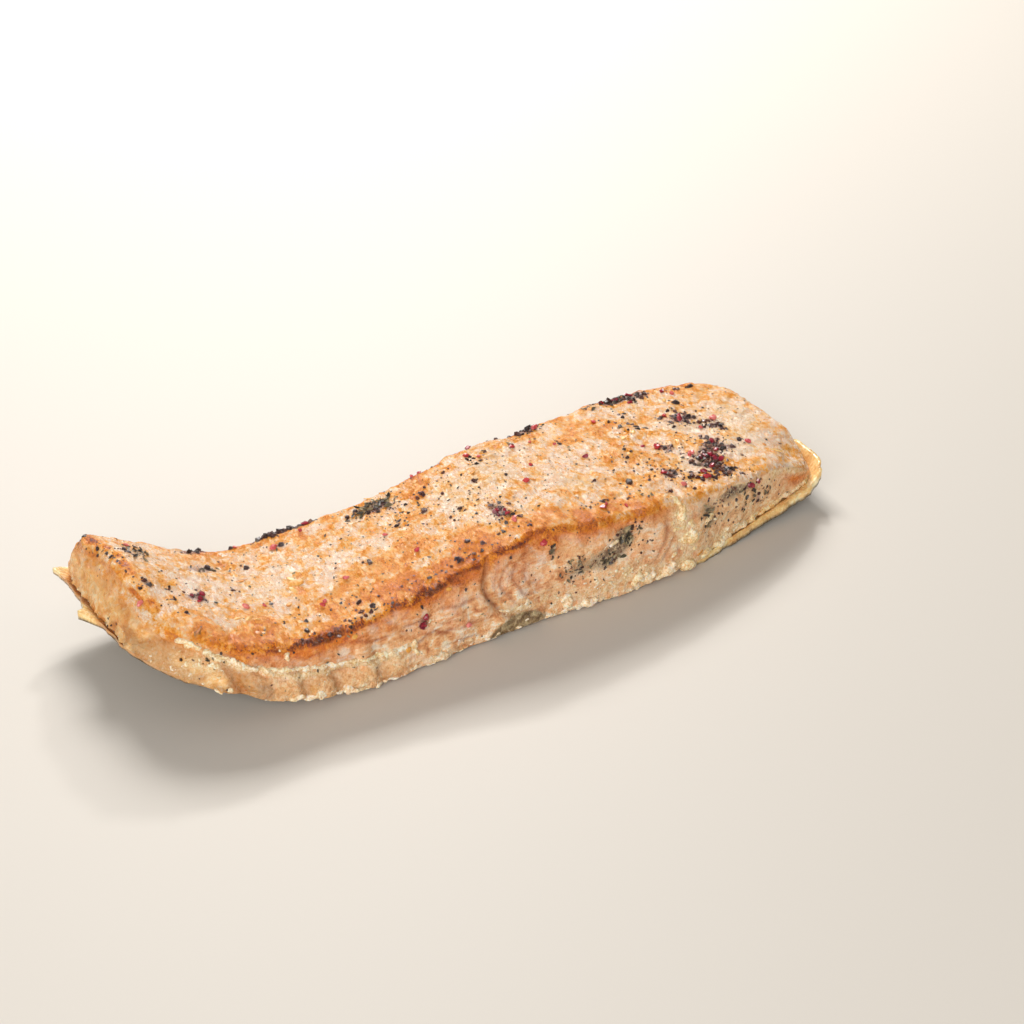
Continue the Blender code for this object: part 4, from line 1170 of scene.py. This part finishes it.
goldTune = {
    "shapes": (4, 70), "placeSeed": 17, "turnSeed": 8, "lean": 0.08, "spin": 0.3,
    # x, y, length, width
    "top": [(-59.5, -3, 2.5, 6.5), (-58.2, -1, 2, 4.5), (-60.5, -5, 1.6, 3.5), (-64.5, -10, 2.2, 1.6),
        (-81, -11, 3.5, 1.5), (-78, -12.5, 3.5, 1.4), (-76, -13, 2.6, 1.6), (-69.5, 6, 1.2, 5),
        (-78, -18, 2.5, 2), (51.5, -3, 4, 3), (56, 6, 2.2, 1.8), (17.8, -2.5, 1.2, 2.6),
        (66, 21, 2.4, 1.8), (4.5, 7.5, 2.2, 1.6), (-22, 19.5, 4, 1.4), (45, 28, 3.4, 1.8),
        (97.5, 5.8, 2, 1.6), (95.5, -16, 5, 2.4), (94, -13, 2.5, 1.8), (83, 22, 1.2, 5), (61, 8, 2.4, 1.6),
        (-18, 20.6, 2.2, 1.2)],
    "near": [(-55, 17, 2, 1.4), (-25.5, 20.6, 2.2, 1.4), (60, 3.6, 3, 1.2), (57, 4.2, 3, 1.4),
        (-40, 8.2, 2, 2.4)],
}


def goldSpots():
    rng = random.Random(goldTune["placeSeed"])
    spots = []
    for finder, (a, b, length, width) in eachPlace(goldTune):
        found = finder(a, b)
        if found:
            spots.append((*found, (length, width, 0.45), 0.04, rng.uniform(0, 1)))
    return spots


goldFlakes = scatter("goldenFlakes", variants("flake", goldTune, roundLump), goldSpots(), goldTune)
goldFlakes.data.shade_smooth()
goldFlakes.data.materials.append(grainFinish(
    "goldenFlake", (0.7, 3), (0.6, 0.7, 0.2),
    [(0.0, 196, 104, 20), (0.5, 236, 160, 60), (1.0, 252, 214, 140)], 0.18, (0.3, 0.7),
    Specular_IOR_Level=0.6, Subsurface_Weight=0.2, Subsurface_Radius=(1.0, 0.5, 0.2), Subsurface_Scale=0.001))
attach(goldFlakes, "root")
report(goldFlakes)


# Milky curds along the near foot, the cream ridge at the seam, and jelly at the back end

curdTune = {
    "shapes": (5, 50), "placeSeed": 19, "turnSeed": 9, "lean": 0.2, "spin": 0.35,
    "voxel": 0.3, "soften": (0.5, 2), "grain": 0.10, "lumpsPerBigCurd": 5,
    # share of the foot that carries curds, by x
    "foot": [(-105, 0.35), (-90, 0.5), (-70, 0.7), (-45, 0.6), (-33, 1), (-22, 0.9), (-14, 0.35), (2, 0.3),
        (8, 0.9), (30, 0.9), (42, 1), (60, 1), (74, 0.5), (104, 0.3)],
    # loose flecks on the near face: x, z, spreads, count, least and largest size
    "flecks": [(20, 8, 10, 1.6, 40, 0.5, 1.6), (-5, 7.5, 3, 1, 26, 0.7, 1.8), (34, 8, 7, 2, 26, 0.6, 1.8),
        (52, 13, 3, 4, 30, 0.8, 2.2), (50, 19, 1.6, 3, 22, 0.7, 2), (-31.5, 14, 1, 1, 6, 0.7, 1.3),
        (70, 5, 8, 1.2, 30, 0.6, 1.6), (-96, 18, 5, 2, 40, 0.5, 1.3), (-60, 9.5, 14, 1.5, 30, 0.4, 1),
        (95, 6, 6, 1.5, 16, 0.5, 1.2), (-25, 4, 8, 1.5, 24, 0.5, 1.3)],
    # where curds follow the foot, the seam and the ledge of the skin: x from and to
    "footRun": (-105, 105), "seamRun": (-99, -40), "ledgeRun": (57, 104), "farFoot": 110,
    # both ends, seen from behind: count, then ranges of size, y and z, and how flat
    "backEnd": (50, (0.6, 1.3), (-17, 30), (6.2, 8.5), 0.9),
    "bellyEnd": (40, (0.5, 1.1), (-18, 38), (16.5, 19), 0.8),
}


def curdSpots():
    tune = curdTune
    rng = random.Random(tune["placeSeed"])
    spots = []

    def lay(found, size, sink):
        if found:
            spots.append((*found, size, sink, 0.0))

    for x, rise, length, height, thick in bigCurds:
        z = float(underside(x)) + rise
        lay(onNearAt(x, z), (length, height * 0.95, thick * 1.15), 0.1 * thick)
        for _ in range(tune["lumpsPerBigCurd"]):
            share = rng.uniform(0.3, 0.5)
            found = onNearAt(x + rng.gauss(0, 0.34) * length, max(z + rng.gauss(0, 0.34) * height, 0.6))
            lay(found, (length * share, height * share, thick * share * 1.5), -0.12 * thick)
    x, end = tune["footRun"]
    while x < end:
        x += rng.uniform(0.4, 1.3)
        if rng.random() > float(along(tune["foot"], x)):
            continue
        size = rng.uniform(0.5, 1.0) + 1.5 * rng.random() ** 3
        z = float(underside(x)) + 0.6 + abs(rng.gauss(0, 1.1))
        lay(onNearAt(x, z), (size * rng.uniform(1.1, 2.2), size, size * 0.6), 0.1 * size)
    x, end = tune["seamRun"]
    while x < end:
        x += rng.uniform(0.4, 0.7)
        thickness = float(along(form["thickness"], x))
        z = float(underside(x)) + 1.4 + thickness * float(along(form["seam"], x)) + rng.gauss(0, 0.25)
        swell = float(mottle(np.array([[x, 0.0, 0.0]]), 5, 45.0)[0])
        if swell > -0.5:
            size = 1.0 + 0.7 * swell
            lay(onNearAt(x, z), (1.9 * size, 1.3 * size, 0.9), 0.15)
    x, end = tune["ledgeRun"]   # wet jelly on the ledge of the skin
    while x < end:
        x += rng.uniform(0.8, 1.3)
        size = rng.uniform(1.0, 1.7)
        lay(onNearAt(x, float(underside(x)) + 2.9 + rng.gauss(0, 0.3)), (2.4 * size, 1.3 * size, 1.5), 0.1)
    for a, b, spreadA, spreadB, count, least, most in tune["flecks"]:
        for _ in range(count):
            size = rng.uniform(least, most)
            lay(strewn(rng, onNearAt, a, b, spreadA * 0.8, spreadB * 0.8),
                (size * rng.uniform(0.8, 1.5), size * rng.uniform(0.5, 0.9), size * 0.6), 0.1 * size)
    for _ in range(tune["farFoot"]):
        x = rng.uniform(-100, 104)
        size = rng.uniform(0.5, 1.2)
        z = float(underside(x)) + 1.8 + abs(rng.gauss(0, 1.0))
        lay(onFarAt(x, z), (size * 1.3, size, size * 0.8), 0.05)
    for finder, key in ((onBackAt, "backEnd"), (onBellyAt, "bellyEnd")):
        count, sizes, across, heights, flat = tune[key]
        for _ in range(count):
            size = rng.uniform(*sizes)
            lay(finder(rng.uniform(*across), rng.uniform(*heights)), (size * 1.2, size, size * flat), 0.05)
    return spots


def fuseLumps(piece, tune):
    # lumps melted into one rough skin
    melt = piece.modifiers.new("melt", "REMESH")
    melt.mode = "VOXEL"
    melt.voxel_size = tune["voxel"] * mm
    applyModifier(piece, melt)
    soften = piece.modifiers.new("soften", "SMOOTH")
    soften.factor, soften.iterations = tune["soften"]
    applyModifier(piece, soften)
    points = getPlaces(piece) / mm
    normals = getNormals(piece)
    move = tune["grain"] * (mottle(points, 0.9, 2.0) + 0.7 * mottle(points, 0.45, 3.0))
    setPlaces(piece, (points + normals * move[:, None]) * mm)
    piece.data.shade_smooth()


def curdFinish():
    f = Finish("milkyCurd")
    fine = f.noise(0.6, 3)
    patchy = fine * 0.6 + f.noise(2.0, 2) * 0.4
    yellow, = f.attributes("yellow")
    pale = f.ramp(patchy, [(0.36, 216, 168, 116), (0.48, 246, 214, 172), (0.60, 255, 242, 222)])
    fatty = f.ramp(patchy, [(0.36, 208, 154, 90), (0.48, 240, 200, 134), (0.60, 252, 232, 186)])
    return f.finish(Base_Color=f.mix(pale, fatty, yellow), Roughness=f.span(fine, 0.3, 0.7, 0.18, 0.36),
                    Specular_IOR_Level=0.6, Normal=f.bump(fine, 0.25, 0.6), Subsurface_Weight=0.3,
                    Subsurface_Radius=(1.0, 0.6, 0.35), Subsurface_Scale=0.0015)


curds = scatter("milkyCurds", variants("curd", curdTune, roundLump), curdSpots(), curdTune)
fuseLumps(curds, curdTune)
curdPoints = getPlaces(curds) / mm + middle
fatty = ease((mottle(curdPoints, 9, 3.0) + 0.25) / 0.5)
paint(curds, "yellow", fatty * 0.5 + 0.4 * ease((curdPoints[:, 0] - 40) / 20))   # more fat at the back end
curds.data.materials.append(curdFinish())
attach(curds, "root")
report(curds)


# Floor, light and camera

floorTune = {"size": 6, "colour": (212, 205, 195), "roughness": 0.6}


def makeStage():
    startFresh()
    bpy.ops.mesh.primitive_plane_add(size=floorTune["size"], location=(0, 0, 0))
    floor = bpy.context.object
    floor.name = "floor"
    f = Finish("paleFloor")
    floor.data.materials.append(f.finish(Base_Color=linear(*floorTune["colour"]),
                                         Roughness=floorTune["roughness"]))


lightTune = {
    # place, size, power, colour
    "softKey": ((0.26, 0.78, 0.70), (0.46, 0.30), 10.0, (1.0, 0.98, 0.955)),
    "glint": ((0.50, 0.74, 0.58), (0.09, 0.06), 2.6, (1.0, 0.99, 0.98)),
    "frontFill": ((-0.72, -0.72, 0.45), (1.0, 0.8), 9.4, (1.0, 0.99, 0.97)),
}
worldTune = {"colour": (1.0, 0.985, 0.965), "strength": 0.3}


def lightScene():
    for name, (place, size, power, colour) in lightTune.items():
        light = bpy.data.lights.new(name, "AREA")
        light.shape = "RECTANGLE"
        light.size, light.size_y = size
        light.energy = power
        light.color = colour
        holder = bpy.data.objects.new(name, light)
        holder.location = place
        holder.rotation_euler = (Vector((0, 0, 0.01)) - Vector(place)).to_track_quat("-Z", "Y").to_euler()
        bpy.context.scene.collection.objects.link(holder)
    world = bpy.data.worlds.new("studio")
    bpy.context.scene.world = world
    world.use_nodes = True
    background = world.node_tree.nodes["Background"]
    background.inputs["Color"].default_value = (*worldTune["colour"], 1)
    background.inputs["Strength"].default_value = worldTune["strength"]
    bpy.context.scene.view_settings.view_transform = "Standard"


cameraTune = {
    "place": (-0.305638, -0.480080, 0.387162), "azimuth": 33.8, "down": 32.95, "roll": 0.30,
    "lens": 84.375, "sensor": 36.0,
}


def placeCamera():
    tune = cameraTune
    azimuth, down, roll = (math.radians(tune[k]) for k in ("azimuth", "down", "roll"))
    forward = Vector((math.sin(azimuth) * math.cos(down), math.cos(azimuth) * math.cos(down),
                      -math.sin(down)))
    level = Vector((math.cos(azimuth), -math.sin(azimuth), 0))
    raised = level.cross(forward)
    right = level * math.cos(roll) + raised * math.sin(roll)
    up = raised * math.cos(roll) - level * math.sin(roll)
    data = bpy.data.cameras.new("camera")
    data.lens, data.sensor_width = tune["lens"], tune["sensor"]
    data.clip_start = 0.02
    camera = bpy.data.objects.new("camera", data)
    turn = Matrix((right, up, -forward)).transposed()
    camera.matrix_world = Matrix.Translation(tune["place"]) @ turn.to_4x4()
    bpy.context.scene.collection.objects.link(camera)
    bpy.context.scene.camera = camera


makeStage()
lightScene()
placeCamera()
print("stage set")
